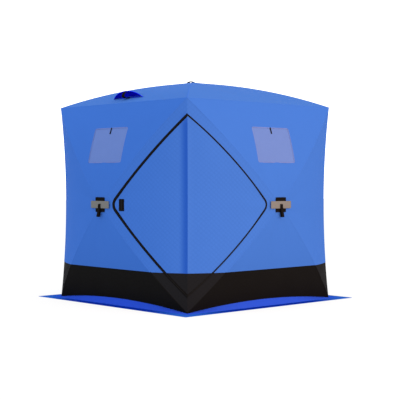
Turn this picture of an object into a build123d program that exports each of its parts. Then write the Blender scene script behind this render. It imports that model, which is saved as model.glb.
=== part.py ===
"""Pop-up hub shelter for ice fishing.

Five square faces, four walls and a roof, each a fabric skin in four triangular panels over four
bowed rods that fan out from a central hub. The rods push every face out into a shallow pyramid.
A zipped diamond door wraps the front right corner, a window sits in each wall's top panel, a black
band runs round the base and a snow skirt lies on the ice outside it. Hooded vents are on the roof.

Frame: +Z up, origin on the ice at the centre of the plan, -Y out of the front wall.
"""

from build123d import *
import os
from math import hypot, sqrt

# Driving dimensions, millimetres
plan_side = 1800
corner_height = 1800
wall_push = 221
roof_push = 234
rod_bow = 46
corner_pull = 48
fabric_thickness = 3.8
hem_lift = 57
hem_bulge = 26
band_top = 335

# Snow skirt
skirt_reach = 155
skirt_slope = 65
skirt_thickness = 4

# Windows
window_width = 460
window_height = 305
window_drop = 225
window_film = 1.5
film_recess = 1.2
toggle_width = 14
toggle_length = 58
toggle_lap = 4
toggle_thickness = 3.5

# Door
door_drop = 132
door_bottom = 140
door_half_width = 682
door_edge_bow = 33
door_round = 90
zip_width = 16
zip_stand = 1.6
zip_depth = 2.4
tab_width = 54
tab_height = 104
tab_drop = 4
tab_inset = 111.5
tab_thickness = 2.5

# Rods, hubs and corner joints
rod_radius = 5.5
rod_hub_depth = 17.5
rod_mid_depth = 1
rod_corner_depth = 26
rod_clearance = 0.3
rod_hub_start = 20
rod_corner_stop = 13
hub_opening = 18
hub_radius = 46
hub_front = 8
hub_back = 28
hub_boss_radius = 13
hub_edge = 4
joint_ball = 17
joint_socket = 9.5
joint_socket_length = 36
foot_radius = 16

# Hub patch, strip, handle and roof loop
patch_width = 124
patch_height = 130
patch_thickness = 2.5
strip_width = 254
strip_height = 64
strip_thickness = 3
strip_corner = 6
handle_width = 28
handle_thickness = 2
handle_top = 6.5
handle_top_depth = 5
handle_drop = 106
handle_end_depth = 24
handle_round = 8
roof_patch_side = 56
loop_width = 64
loop_height = 17
loop_thickness = 3
loop_band = 22
loop_offset = -52
loop_root = 32
loop_round = 6

# Roof vents
vent_inset = 120
vent_width = 410
vent_height = 68
vent_depth = 66
vent_sink = 68
vent_offset = -25
vent_thickness = 3
vent_mouth_width = 300
vent_mouth_depth = 38
vent_mouth_gap = 8
vent_prop_width = 22
vent_prop_thickness = 3
vent_prop_bow = 34
vent_prop_inset = 8
vent_prop_root = 10

SIDES = ("front", "right", "back", "left")
CORNERS = ("front_right", "back_right", "back_left", "front_left")
VENTED = ("front", "back")

# Sizes worked out from the ones above
half = plan_side / 2
wall_hub_z = corner_height / 2
hub_reach = half + wall_push
roof_top = corner_height + roof_push
centre = Vector(0, 0, wall_hub_z)
panel_distance = hub_reach * half / hypot(half, wall_push)
hub_start = hub_opening / half
far = 2 * plan_side
window_head = corner_height - window_drop
window_middle = window_head - window_height / 2
door_top = corner_height - door_drop
door_middle = (door_top + door_bottom) / 2
tab_centre_x = hub_reach - door_half_width * sqrt(2) + tab_inset

wall_hub = Vector(0, -hub_reach, wall_hub_z)
roof_hub_point = Vector(0, 0, roof_top)
top_left = Vector(-half, -half, corner_height)
top_right = Vector(half, -half, corner_height)
ground_left = Vector(-half, -half, skirt_thickness)
ground_right = Vector(half, -half, skirt_thickness)
right_hub = Vector(hub_reach, 0, wall_hub_z)

front_plane = Plane(origin=(0, 0, 0), x_dir=(1, 0, 0), z_dir=(0, -1, 0))
corner_plane = Plane(origin=(0, 0, 0), x_dir=(1, 1, 0), z_dir=(1, -1, 0))


def sunk(point, depth):
    """The point moved towards the shelter's centre, so that its panel moves in by the depth."""
    return centre + (point - centre) * (1 - depth / panel_distance)


def bowed(hub, corner, outward):
    """Control points of a rod's curve: straight from hub to corner, then bowed outward."""
    along = (corner - hub).normalized()
    across = (outward - along * outward.dot(along)).normalized()
    return [hub, (hub + corner) * 0.5 + across * (2 * rod_bow), corner]


def stretch(net, start, end):
    """Control points of a quadratic curve between two of its parameters."""

    def blossom(s, t):
        return net[0] * ((1 - s) * (1 - t)) + net[1] * (s + t - 2 * s * t) + net[2] * (s * t)

    return [blossom(start, start), blossom(start, end), blossom(end, end)]


def panel_net(rod_a, rod_b, edge_pull):
    """Nine control points of a panel between two rods, its outer edge pulled off straight."""
    a, b = stretch(rod_a, hub_start, 1), stretch(rod_b, hub_start, 1)
    shares = (hub_start**2, hub_start, 1)
    return [[p, (p + q) * 0.5 + edge_pull * (2 * w), q] for p, q, w in zip(a, b, shares)]


def rims(net):
    """The four edges of a panel: hub end, outer edge and the two rod sides."""
    return net[0], net[2], [row[0] for row in net], [row[2] for row in net]


def fabric(nets, edges, outer=0.0, inner=fabric_thickness):
    """A skin of one or more panels with square-cut mitred edges, between two depths."""
    faces = []
    for depth in (outer, inner):
        for net in nets:
            faces.append(Face.make_bezier_surface([[sunk(p, depth) for p in row] for row in net]))
    for edge in edges:
        rails = [[sunk(p, depth) for p in edge] for depth in (outer, inner)]
        faces.append(Face.make_bezier_surface(rails))
    return Solid(Shell(faces))


def rod_arc(net):
    """A rod's own arc, set inside the panels' crease by a depth at its hub, middle and corner."""
    depths = (rod_hub_depth, rod_mid_depth, rod_corner_depth)
    hub_end, bend, corner_end = (sunk(p, d) for p, d in zip(net, depths))
    return ThreePointArc(hub_end, (hub_end + bend * 2 + corner_end) / 4, corner_end)


def rod(arc, start, end, radius):
    """A round rod along an arc, between two distances from the arc's hub end."""
    reaches = (start, (start + end) / 2, end)
    with BuildPart() as piece:
        with BuildLine():
            path = ThreePointArc(*(arc.position_at(d, PositionMode.LENGTH) for d in reaches))
        with BuildSketch(Plane(origin=path @ 0, z_dir=path % 0)):
            Circle(radius)
        sweep()
    return piece.part


def turned(piece, quarters):
    """A copy of a piece or a line, turned about the shelter's axis by quarter turns."""
    return piece.rotate(Axis.Z, 90 * quarters)


def write(piece, name):
    """Label a piece and write it as its own file."""
    piece.label = name
    export_step(piece, f"parts/{name}.step")


os.makedirs("parts", exist_ok=True)

# Curves of the rods and of the panels between them
front_out, right_out, up = Vector(0, -1, 0), Vector(1, 0, 0), Vector(0, 0, 1)
front_to_top_left = bowed(wall_hub, top_left, front_out)
front_to_top_right = bowed(wall_hub, top_right, front_out)
front_to_ground_left = bowed(wall_hub, ground_left, front_out)
front_to_ground_right = bowed(wall_hub, ground_right, front_out)
right_to_top = bowed(right_hub, top_right, right_out)
right_to_ground = bowed(right_hub, ground_right, right_out)
roof_to_left = bowed(roof_hub_point, top_left, up)
roof_to_right = bowed(roof_hub_point, top_right, up)

straight = Vector(0, 0, 0)
hem_pull = Vector(0, -hem_bulge, hem_lift)
crease_pull = Vector(-1, 1, 0) * (corner_pull / sqrt(2))

window_net = panel_net(front_to_top_left, front_to_top_right, straight)
lower_net = panel_net(front_to_ground_left, front_to_ground_right, hem_pull)
roof_net = panel_net(roof_to_left, roof_to_right, straight)
corner_nets = (
    panel_net(front_to_ground_right, front_to_top_right, crease_pull),
    panel_net(right_to_ground, right_to_top, crease_pull),
)
corner_edges = [edge for net in corner_nets for edge in (rims(net)[0], rims(net)[2], rims(net)[3])]


def corner_skin(outer, inner):
    """The corner panel's skin, both halves and the crease between them, between two depths."""
    return fabric(corner_nets, corner_edges, outer, inner)


# Wall panels with a window cut through the top one
with BuildPart() as window_panel:
    add(fabric([window_net], rims(window_net)))
    with BuildSketch(front_plane):
        with Locations((0, window_middle)):
            Rectangle(window_width, window_height)
    extrude(amount=far, mode=Mode.SUBTRACT)

with BuildPart() as window:
    add(fabric([window_net], rims(window_net), film_recess, film_recess + window_film))
    with BuildSketch(front_plane):
        with Locations((0, window_middle)):
            Rectangle(window_width, window_height)
    extrude(amount=far, mode=Mode.INTERSECT)

with BuildPart() as window_toggle:
    add(fabric([window_net], rims(window_net), -toggle_thickness, 0))
    with BuildSketch(front_plane):
        with Locations((0, window_head + toggle_lap - toggle_length / 2)):
            RectangleRounded(toggle_width, toggle_length, toggle_width / 3)
    extrude(amount=far, mode=Mode.INTERSECT)

with BuildPart() as lower_panel:
    add(fabric([lower_net], rims(lower_net)))
    split(bisect_by=Plane.XY.offset(band_top), keep=Keep.TOP)

with BuildPart() as base_band:
    add(fabric([lower_net], rims(lower_net)))
    split(bisect_by=Plane.XY.offset(band_top), keep=Keep.BOTTOM)

# Corner panels, plain at three corners
with BuildPart() as corner_panel:
    add(corner_skin(0, fabric_thickness))
    split(bisect_by=Plane.XY.offset(band_top), keep=Keep.TOP)

with BuildPart() as corner_band:
    add(corner_skin(0, fabric_thickness))
    split(bisect_by=Plane.XY.offset(band_top), keep=Keep.BOTTOM)

# Door outlines, drawn square to the corner: the doorway and the door inside its zip
outlines = []
for inset in (0, zip_width):
    with BuildSketch(corner_plane) as outline:
        with BuildLine():
            top = (0, door_top - inset * sqrt(2))
            bottom = (0, door_bottom + inset * sqrt(2))
            left = (-door_half_width + inset * sqrt(2), door_middle)
            right = (door_half_width - inset * sqrt(2), door_middle)
            SagittaArc(top, left, -door_edge_bow)
            SagittaArc(left, bottom, -door_edge_bow)
            SagittaArc(bottom, right, -door_edge_bow)
            SagittaArc(right, top, -door_edge_bow)
        make_face()
        sides = outline.vertices().group_by(Axis.Y)[1]
        fillet(sides, door_round - inset)
    outlines.append(outline.sketch)
doorway_outline, door_outline = outlines

with BuildPart() as doorway_corner:
    add(corner_skin(0, fabric_thickness))
    extrude(doorway_outline, amount=far, dir=corner_plane.z_dir, mode=Mode.SUBTRACT)
    split(bisect_by=Plane.XY.offset(band_top), keep=Keep.TOP)

with BuildPart() as doorway_band:
    add(corner_skin(0, fabric_thickness))
    extrude(doorway_outline, amount=far, dir=corner_plane.z_dir, mode=Mode.SUBTRACT)
    split(bisect_by=Plane.XY.offset(band_top), keep=Keep.BOTTOM)

with BuildPart() as door_panel:
    add(corner_skin(0, fabric_thickness))
    extrude(door_outline, amount=far, dir=corner_plane.z_dir, mode=Mode.INTERSECT)
    split(bisect_by=Plane.XY.offset(band_top), keep=Keep.TOP)

with BuildPart() as door_kick_panel:
    add(corner_skin(0, fabric_thickness))
    extrude(door_outline, amount=far, dir=corner_plane.z_dir, mode=Mode.INTERSECT)
    split(bisect_by=Plane.XY.offset(band_top), keep=Keep.BOTTOM)

with BuildPart() as door_zip:
    add(corner_skin(-zip_stand, zip_depth))
    extrude(doorway_outline, amount=far, dir=corner_plane.z_dir, mode=Mode.INTERSECT)
    extrude(door_outline, amount=far, dir=corner_plane.z_dir, mode=Mode.SUBTRACT)

with BuildPart() as door_tab:
    add(corner_skin(-tab_thickness, 0))
    with BuildSketch(front_plane):
        with Locations((tab_centre_x, door_middle - tab_drop)):
            Rectangle(tab_width, tab_height)
    extrude(amount=far, mode=Mode.INTERSECT)

# Roof panel, the roof's bulk under it, and the vent's place on its slope
with BuildPart() as roof_panel:
    add(fabric([roof_net], rims(roof_net)))

with BuildPart() as roof_bulk:
    add(fabric([roof_net], rims(roof_net), 0, half / 2))

vent_share = 1 - vent_inset / half
middle_line = [(p + q) * 0.5 for p, q in zip(roof_to_left, roof_to_right)]
vent_seat = stretch(middle_line, vent_share, vent_share)[0]
down_slope = (middle_line[1] - middle_line[0]) * (1 - vent_share)
down_slope += (middle_line[2] - middle_line[1]) * vent_share
vent_normal = down_slope.cross(Vector(1, 0, 0))
vent_plane = Plane(origin=vent_seat + Vector(vent_offset, 0, 0), x_dir=(1, 0, 0), z_dir=vent_normal)


def half_dome(shrink):
    """The vent's rounded form, lying on its plane, drawn in by a distance all round."""
    width, depth, height = vent_width / 2 - shrink, vent_depth - shrink, vent_height - shrink
    rise = height + vent_sink
    radius = width / sqrt(1 - (vent_sink / rise) ** 2)
    with BuildPart() as dome:
        Sphere(radius)
        scale(by=(1, depth / width, rise / radius))
        split(bisect_by=Plane.XZ, keep=Keep.BOTTOM)
    return vent_plane.offset(-vent_sink) * dome.part


hood_outside, hood_inside = half_dome(0), half_dome(vent_thickness)

with BuildPart() as vent_hood:
    add(hood_outside)
    add(hood_inside, mode=Mode.SUBTRACT)
    add(roof_bulk.part, mode=Mode.SUBTRACT)

prop_head = vent_height - vent_thickness
prop_middle = (prop_head - vent_prop_root) / 2
with BuildPart() as vent_prop:
    with BuildSketch(Plane(origin=vent_plane.origin, x_dir=vent_plane.y_dir, z_dir=vent_plane.x_dir)):
        with BuildLine():
            faces = []
            for reach in (vent_prop_inset, vent_prop_inset + vent_prop_thickness):
                foot, head = (reach, -vent_prop_root), (reach, prop_head)
                faces.append(ThreePointArc(foot, (reach - vent_prop_bow, prop_middle), head))
            Line(faces[0] @ 0, faces[1] @ 0)
            Line(faces[0] @ 1, faces[1] @ 1)
        make_face()
    extrude(amount=vent_prop_width / 2, both=True)
    add(vent_hood.part, mode=Mode.SUBTRACT)
    add(roof_bulk.part, mode=Mode.SUBTRACT)

with BuildPart() as vented_roof_panel:
    add(roof_panel.part)
    with BuildSketch(vent_plane):
        with BuildLine():
            mouth = EllipticalCenterArc(
                (0, vent_mouth_gap), vent_mouth_width / 2, vent_mouth_depth, 0, arc_size=180
            )
            Line(mouth @ 0, mouth @ 1)
        make_face()
    extrude(amount=vent_height, both=True, mode=Mode.SUBTRACT)

# Snow skirt: rails along one wall, joined by faces, mitred at the corners
def rail(reach, height):
    """A straight rail of the skirt at a reach from the centre and a height."""
    return [Vector(-reach, -reach, height), Vector(0, -reach, height), Vector(reach, -reach, height)]


hem_outer = lower_net[2]
hem_inner = [sunk(p, fabric_thickness) for p in hem_outer]
hem_inner_low = [p - Vector(0, 0, skirt_thickness) for p in hem_inner]
skirt_rails = [
    hem_inner,
    hem_outer,
    rail(half + skirt_slope, skirt_thickness),
    rail(half + skirt_reach, skirt_thickness),
    rail(half + skirt_reach, 0),
    rail(half + skirt_slope - skirt_thickness, 0),
    hem_inner_low,
]
skirt_faces = []
for number, (near, away) in enumerate(zip(skirt_rails, skirt_rails[1:] + skirt_rails[:1])):
    if number in (2, 3, 4):
        corners = (near[0], near[2], away[2], away[0])
        skirt_faces.append(Face(Wire.make_polygon(corners)))
    else:
        skirt_faces.append(Face.make_bezier_surface([near, away]))
for end in (0, 2):
    skirt_faces.append(Face(Wire.make_polygon([line[end] for line in skirt_rails])))

with BuildPart() as snow_skirt:
    add(Solid(Shell(skirt_faces)))

# Rods: their own arcs inside the creases
wall_rod_curves = (
    front_to_top_left,
    front_to_top_right,
    front_to_ground_left,
    front_to_ground_right,
)
wall_arcs = [rod_arc(curve) for curve in wall_rod_curves]
roof_arc = rod_arc(roof_to_right)
right_top_arc, right_ground_arc = rod_arc(right_to_top), rod_arc(right_to_ground)
bore_radius = rod_radius + rod_clearance

wall_rods = [rod(arc, rod_hub_start, arc.length - rod_corner_stop, rod_radius) for arc in wall_arcs]
roof_rod = rod(roof_arc, rod_hub_start, roof_arc.length - rod_corner_stop, rod_radius)

with BuildPart() as wall_poles:
    for quarters in range(4):
        add([turned(piece, quarters) for piece in wall_rods])

with BuildPart() as roof_poles:
    for quarters in range(4):
        add(turned(roof_rod, quarters))


def hub(plane, arcs):
    """A hub disc behind the fabric, with a blind bore for each rod and a boss out to the patch."""
    bores = [rod(arc, rod_hub_start, rod_hub_start + hub_radius, bore_radius) for arc in arcs]
    with BuildPart() as disc:
        with BuildSketch(plane.offset(-hub_back)):
            Circle(hub_radius)
        extrude(amount=hub_back - hub_front)
        chamfer(disc.edges(), hub_edge)
        with BuildSketch(plane.offset(-hub_front)):
            Circle(hub_boss_radius)
        extrude(amount=hub_front)
        add(bores, mode=Mode.SUBTRACT)
    return disc.part


wall_plane = Plane(origin=wall_hub, x_dir=(1, 0, 0), z_dir=(0, -1, 0))
roof_plane = Plane(origin=roof_hub_point, x_dir=(1, 0, 0), z_dir=(0, 0, 1))
wall_hub_disc = hub(wall_plane, wall_arcs)
roof_hub_disc = hub(roof_plane, [turned(roof_arc, quarters) for quarters in range(4)])

with BuildPart() as wall_hubs:
    for quarters in range(4):
        add(turned(wall_hub_disc, quarters))

with BuildPart() as roof_hub:
    add(roof_hub_disc)


def corner_joint(arcs, foot):
    """A ball with a socket for each rod that ends there, on a foot where it stands on the ice."""
    ball_centre = arcs[0] @ 1
    mouths = [arc.position_at(arc.length - joint_socket_length, PositionMode.LENGTH) for arc in arcs]
    bottom = rod_corner_stop - rod_clearance
    stops = [arc.position_at(arc.length - bottom, PositionMode.LENGTH) for arc in arcs]
    with BuildPart() as joint:
        with Locations(ball_centre):
            Sphere(joint_ball)
        for mouth in mouths:
            with BuildSketch(Plane(origin=mouth, z_dir=ball_centre - mouth)):
                Circle(joint_socket)
            extrude(amount=(ball_centre - mouth).length)
        if foot:
            with BuildSketch(Plane(origin=(ball_centre.X, ball_centre.Y, 0))):
                Circle(foot_radius)
            extrude(amount=ball_centre.Z)
        for mouth, stop in zip(mouths, stops):
            with BuildSketch(Plane(origin=stop, z_dir=mouth - stop)):
                Circle(bore_radius)
            extrude(amount=2 * joint_socket_length, mode=Mode.SUBTRACT)
    return joint.part


top_joint = corner_joint((wall_arcs[1], right_top_arc, roof_arc), foot=False)
ground_joint = corner_joint((wall_arcs[3], right_ground_arc), foot=True)

with BuildPart() as top_corner_joints:
    for quarters in range(4):
        add(turned(top_joint, quarters))

with BuildPart() as ground_corner_joints:
    for quarters in range(4):
        add(turned(ground_joint, quarters))


# Patch, strip and handle on each hub
def hub_plate(plane, width, height, corner, thickness):
    """A flat rounded plate whose back lies on a plane."""
    with BuildPart() as plate:
        with BuildSketch(plane):
            RectangleRounded(width, height, corner)
        extrude(amount=thickness)
    return plate.part


wall_strip_plane = wall_plane.offset(patch_thickness)
handle_back = wall_strip_plane.offset(strip_thickness).origin.Y
loop_base = roof_top + patch_thickness
wall_patch = hub_plate(wall_plane, patch_width, patch_height, strip_corner, patch_thickness)
wall_strip = hub_plate(wall_strip_plane, strip_width, strip_height, strip_corner, strip_thickness)
roof_patch = hub_plate(roof_plane, roof_patch_side, roof_patch_side, strip_corner, patch_thickness)

with BuildPart() as hub_patches:
    for quarters in range(4):
        add(turned(wall_patch, quarters))
    add(roof_patch)

with BuildPart() as hub_strips:
    for quarters in range(4):
        add(turned(wall_strip, quarters))

# Pull handle: a strap sewn into a loop, closed at the top and hanging open at the bottom
top, end = wall_hub_z + handle_top, wall_hub_z - handle_drop
with BuildSketch(Plane.YZ.offset(-handle_width / 2)) as handle_side:
    with BuildLine():
        Polyline(
            (handle_back, top),
            (handle_back - handle_top_depth, top),
            (handle_back - handle_end_depth, end),
            (handle_back, end),
            close=True,
        )
    make_face()

with BuildSketch(Plane.YZ.offset(-handle_width / 2)) as handle_hole:
    add(handle_side.sketch_local)
    offset(amount=-handle_thickness, kind=Kind.INTERSECTION, mode=Mode.REPLACE)

with BuildPart() as pull_handle:
    extrude(handle_side.sketch, amount=handle_width)
    fillet(pull_handle.edges().filter_by(Axis.Y).group_by(Axis.Z)[-1], handle_round)
    extrude(handle_hole.sketch, amount=handle_width, mode=Mode.SUBTRACT)

with BuildPart() as pull_handles:
    for quarters in range(4):
        add(turned(pull_handle.part, quarters))

# Roof loop: one leg on the patch and the other, longer, on the left panel
near_leg, far_leg = loop_offset + loop_width / 2, loop_offset - loop_width / 2
loop_top = loop_base + loop_height
with BuildPart() as roof_pull_loop:
    with BuildSketch(Plane.XZ.offset(-loop_band / 2)):
        with BuildLine():
            Polyline(
                (near_leg, loop_base),
                (near_leg, loop_top),
                (far_leg, loop_top),
                (far_leg, loop_base - loop_root),
                (far_leg + loop_thickness, loop_base - loop_root),
                (far_leg + loop_thickness, loop_top - loop_thickness),
                (near_leg - loop_thickness, loop_top - loop_thickness),
                (near_leg - loop_thickness, loop_base),
                close=True,
            )
        make_face()
    extrude(amount=loop_band)
    fillet(roof_pull_loop.edges().filter_by(Axis.Y).group_by(Axis.Z)[-1], loop_round)
    add(turned(roof_bulk.part, 3), mode=Mode.SUBTRACT)

# Every piece, each in its own file
for quarters, side in enumerate(SIDES):
    write(turned(window_panel.part, quarters), f"{side}_window_panel")
    write(turned(lower_panel.part, quarters), f"{side}_lower_panel")
    write(turned(base_band.part, quarters), f"{side}_base_band")
    write(turned(snow_skirt.part, quarters), f"{side}_snow_skirt")
    roof = vented_roof_panel if side in VENTED else roof_panel
    write(turned(roof.part, quarters), f"{side}_roof_panel")

for quarters, corner in enumerate(CORNERS):
    panel, band = (doorway_corner, doorway_band) if quarters == 0 else (corner_panel, corner_band)
    write(turned(panel.part, quarters), f"{corner}_corner_panel")
    write(turned(band.part, quarters), f"{corner}_corner_band")

with BuildPart() as windows:
    for quarters in range(4):
        add(turned(window.part, quarters))

with BuildPart() as window_toggles:
    for quarters in range(4):
        add(turned(window_toggle.part, quarters))

with BuildPart() as vent_hoods:
    for quarters in (0, 2):
        add(turned(vent_hood.part, quarters))

with BuildPart() as vent_props:
    for quarters in (0, 2):
        add(turned(vent_prop.part, quarters))

write(door_panel.part, "door_panel")
write(door_kick_panel.part, "door_kick_panel")
write(door_zip.part, "door_zip")
write(door_tab.part, "door_tab")
write(windows.part, "windows")
write(window_toggles.part, "window_toggles")
write(vent_hoods.part, "vent_hoods")
write(vent_props.part, "vent_props")
write(wall_poles.part, "wall_poles")
write(roof_poles.part, "roof_poles")
write(wall_hubs.part, "wall_hubs")
write(roof_hub.part, "roof_hub")
write(top_corner_joints.part, "top_corner_joints")
write(ground_corner_joints.part, "ground_corner_joints")
write(hub_patches.part, "hub_patches")
write(hub_strips.part, "hub_strips")
write(pull_handles.part, "pull_handles")
write(roof_pull_loop.part, "roof_pull_loop")
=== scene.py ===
"""Looks of the pop-up hub shelter for ice fishing, built round its fixed frame.

Everything is in metres, +Z up, with the origin on the ice at the centre of the plan and -Y out of
the front wall. Each wall and the roof is a shallow pyramid of four taut panels between bowed rods.
Shapes are worked out in the front wall's frame and turned about +Z onto the other sides.
"""

import logging
import math
from dataclasses import dataclass, field, replace
from enum import Enum
from typing import Callable

import bpy
import numpy as np
from mathutils import Matrix, Vector


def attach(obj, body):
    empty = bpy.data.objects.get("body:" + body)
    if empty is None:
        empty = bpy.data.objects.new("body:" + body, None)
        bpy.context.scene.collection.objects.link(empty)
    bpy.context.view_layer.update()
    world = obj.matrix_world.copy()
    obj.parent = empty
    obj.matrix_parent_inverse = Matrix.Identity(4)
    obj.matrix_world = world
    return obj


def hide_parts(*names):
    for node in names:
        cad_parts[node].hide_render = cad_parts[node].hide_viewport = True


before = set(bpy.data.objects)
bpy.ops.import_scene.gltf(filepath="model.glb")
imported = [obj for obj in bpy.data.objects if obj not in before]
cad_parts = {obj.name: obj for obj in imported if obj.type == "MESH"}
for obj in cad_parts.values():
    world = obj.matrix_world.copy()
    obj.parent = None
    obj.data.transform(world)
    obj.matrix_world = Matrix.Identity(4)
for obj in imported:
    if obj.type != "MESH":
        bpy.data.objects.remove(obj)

Array = np.ndarray
log = logging.getLogger("shelter")

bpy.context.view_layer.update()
SHARP_ANGLE = math.radians(38)
WELD_STEP = 1e-6
TINY = 1e-12
# Points of a curve on which values are looked up.
FINE_STEPS = 2001
# Slope of the middle line of the folds that fan out from a corner.
FAN_SLOPE = 0.42
# The painted shade beside the door's crease: ranges of the distance across it, then of the height.
CREASE_SHADE_NEAR, CREASE_SHADE_SHORT, CREASE_SHADE_FADE = (-0.075, -0.012), (0.004, -0.001), (1.70, 1.58)
# Distances from a strip's middle over which its painted shade gives way to its lighter tip colour.
TIP_SPAN = (0.45, 0.98)
# Distance between the quilting's lines of one direction, measured across or up.
QUILT_STEP = 0.0405
RIGHT, FRONT, UP = np.array([[1.0, 0.0, 0.0], [0.0, -1.0, 0.0], [0.0, 0.0, 1.0]])
FRONT_AXES, ROOF_AXES = np.eye(3)[[0, 2]], np.eye(3)[:2]
CORNER_AXES = np.array([[math.sqrt(0.5), math.sqrt(0.5), 0.0], [0.0, 0.0, 1.0]])


class Turn(Enum):
    """A place round the shelter, with its number of quarter turns from the first."""

    @property
    def word(self) -> str:
        """The place's name as the frame's nodes use it."""
        return self.name.lower()


class Side(Turn):
    """The four walls, from the front one."""

    FRONT = 0
    RIGHT = 1
    BACK = 2
    LEFT = 3


class Corner(Turn):
    """The four corners, from the one with the door."""

    FRONT_RIGHT = 0
    BACK_RIGHT = 1
    BACK_LEFT = 2
    FRONT_LEFT = 3


class Weave(Enum):
    """How a cloth's surface is worked: threads per metre and how deep the relief is."""

    TAFFETA = (620.0, 0.00010)
    CANVAS = (380.0, 0.00018)
    WEBBING = (240.0, 0.00030)


def turned(points: Array, quarters: int) -> Array:
    """Points turned about +Z by quarter turns: (x, y) goes to (-y, x) once for each.

    Args:
        points: Points with x, y and z in the last axis.
        quarters: How many quarter turns.

    Returns:
        The turned points, as a new array.
    """
    out = np.array(points, float)
    for _ in range(quarters % 4):
        out = np.stack([-out[..., 1], out[..., 0], out[..., 2]], -1)
    return out


def mirrored(points: Array) -> Array:
    """Points mirrored in the door corner's upright plane: (x, y) goes to (-y, -x)."""
    return np.stack([-points[..., 1], -points[..., 0], points[..., 2]], -1)


def unit(vectors: Array) -> Array:
    """Vectors divided by their length."""
    return vectors / np.maximum(np.linalg.norm(vectors, axis=-1, keepdims=True), TINY)


def smooth(t: Array) -> Array:
    """A soft step from 0 to 1: three times t squared, less twice t cubed, with t held in 0 to 1."""
    t = np.clip(t, 0.0, 1.0)
    return t * t * (3 - 2 * t)


def plateau(t: Array, steepness: float) -> Array:
    """A soft step up from 0 at one end of 0 to 1, and down again at the other end."""
    return smooth(steepness * t) * smooth(steepness * (1 - t))


def run_along(path: Array) -> Array:
    """Distance along a path to each of its points."""
    return np.concatenate([[0.0], np.cumsum(np.linalg.norm(np.diff(path, axis=0), axis=1))])


def oval(half_width: float, half_height: float) -> Array:
    """Twelve points round an oval section, counterclockwise."""
    angle = np.linspace(0, math.tau, 13)[:-1]
    return np.stack([half_width * np.cos(angle), half_height * np.sin(angle)], -1)


@dataclass(frozen=True)
class Patch:
    """A biquadratic Bezier patch: three rows, hub to edge, of three points, side to side."""

    net: Array
    rounds: int = 24
    longest_step: float = 0.25
    flattest: float = 1e-9

    @staticmethod
    def weights(t: Array) -> tuple[Array, Array]:
        """Bernstein weights of a quadratic and their slopes.

        Args:
            t: Shares from 0 to 1.

        Returns:
            The weights (1-t)^2, 2t(1-t), t^2 and their derivatives, each with a last axis of 3.
        """
        t = np.asarray(t, float)
        value = np.stack([(1 - t) ** 2, 2 * t * (1 - t), t * t], -1)
        slope = np.stack([2 * t - 2, 2 - 4 * t, 2 * t], -1)
        return value, slope

    def point(self, u: Array, v: Array) -> Array:
        """The point at shares u and v: both sets of weights times the nine control points."""
        return np.einsum("...i,...j,ijk->...k", self.weights(u)[0], self.weights(v)[0], self.net)

    def tangents(self, u: Array, v: Array) -> tuple[Array, Array]:
        """The patch's slopes along u and along v."""
        (bu, du), (bv, dv) = self.weights(u), self.weights(v)
        along = np.einsum("...i,...j,ijk->...k", du, bv, self.net)
        across = np.einsum("...i,...j,ijk->...k", bu, dv, self.net)
        return along, across

    def normal(self, u: Array, v: Array) -> Array:
        """The patch's normals: its slope along u crossed with its slope along v."""
        return unit(np.cross(*self.tangents(u, v)))

    def side_x(self, rows: Array, axis: int = 2) -> Array:
        """x of the patch's right side, where a rod runs, at given rows.

        Args:
            rows: The rows' heights, or their y on the roof.
            axis: The coordinate that rows holds.

        Returns:
            The x of the side at each row.
        """
        u = np.linspace(0.0, 1.0, FINE_STEPS)
        line = self.point(u, np.ones_like(u))
        order = np.argsort(line[:, axis])
        return np.interp(rows, line[order, axis], line[order, 0])

    def locate(self, first: Array, second: Array, axes: Array) -> tuple[Array, Array]:
        """The shares whose point has two given coordinates.

        They are found by Newton's method: rounds of steps, none longer than the longest step.

        Args:
            first: Wanted coordinates along the first axis.
            second: Wanted coordinates along the second axis.
            axes: Two directions, one in each row.

        Returns:
            The shares u and v, held within the patch.
        """
        goal = np.stack(np.broadcast_arrays(first, second), -1).astype(float)
        u, v = np.full(goal.shape[:-1], 0.6), np.full(goal.shape[:-1], 0.5)
        for _ in range(self.rounds):
            miss = goal - self.point(u, v) @ axes.T
            along, across = (t @ axes.T for t in self.tangents(u, v))
            det = along[..., 0] * across[..., 1] - along[..., 1] * across[..., 0]
            det = np.where(np.abs(det) < self.flattest, self.flattest, det)
            step_u = (miss[..., 0] * across[..., 1] - miss[..., 1] * across[..., 0]) / det
            step_v = (along[..., 0] * miss[..., 1] - along[..., 1] * miss[..., 0]) / det
            u = np.clip(u + np.clip(step_u, -self.longest_step, self.longest_step), 0.0, 1.0)
            v = np.clip(v + np.clip(step_v, -self.longest_step, self.longest_step), 0.0, 1.0)
        return u, v

    def place(self, first: Array, second: Array, axes: Array) -> Array:
        """The patch's points that have two given coordinates along two axes."""
        return self.point(*self.locate(first, second, axes))


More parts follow.
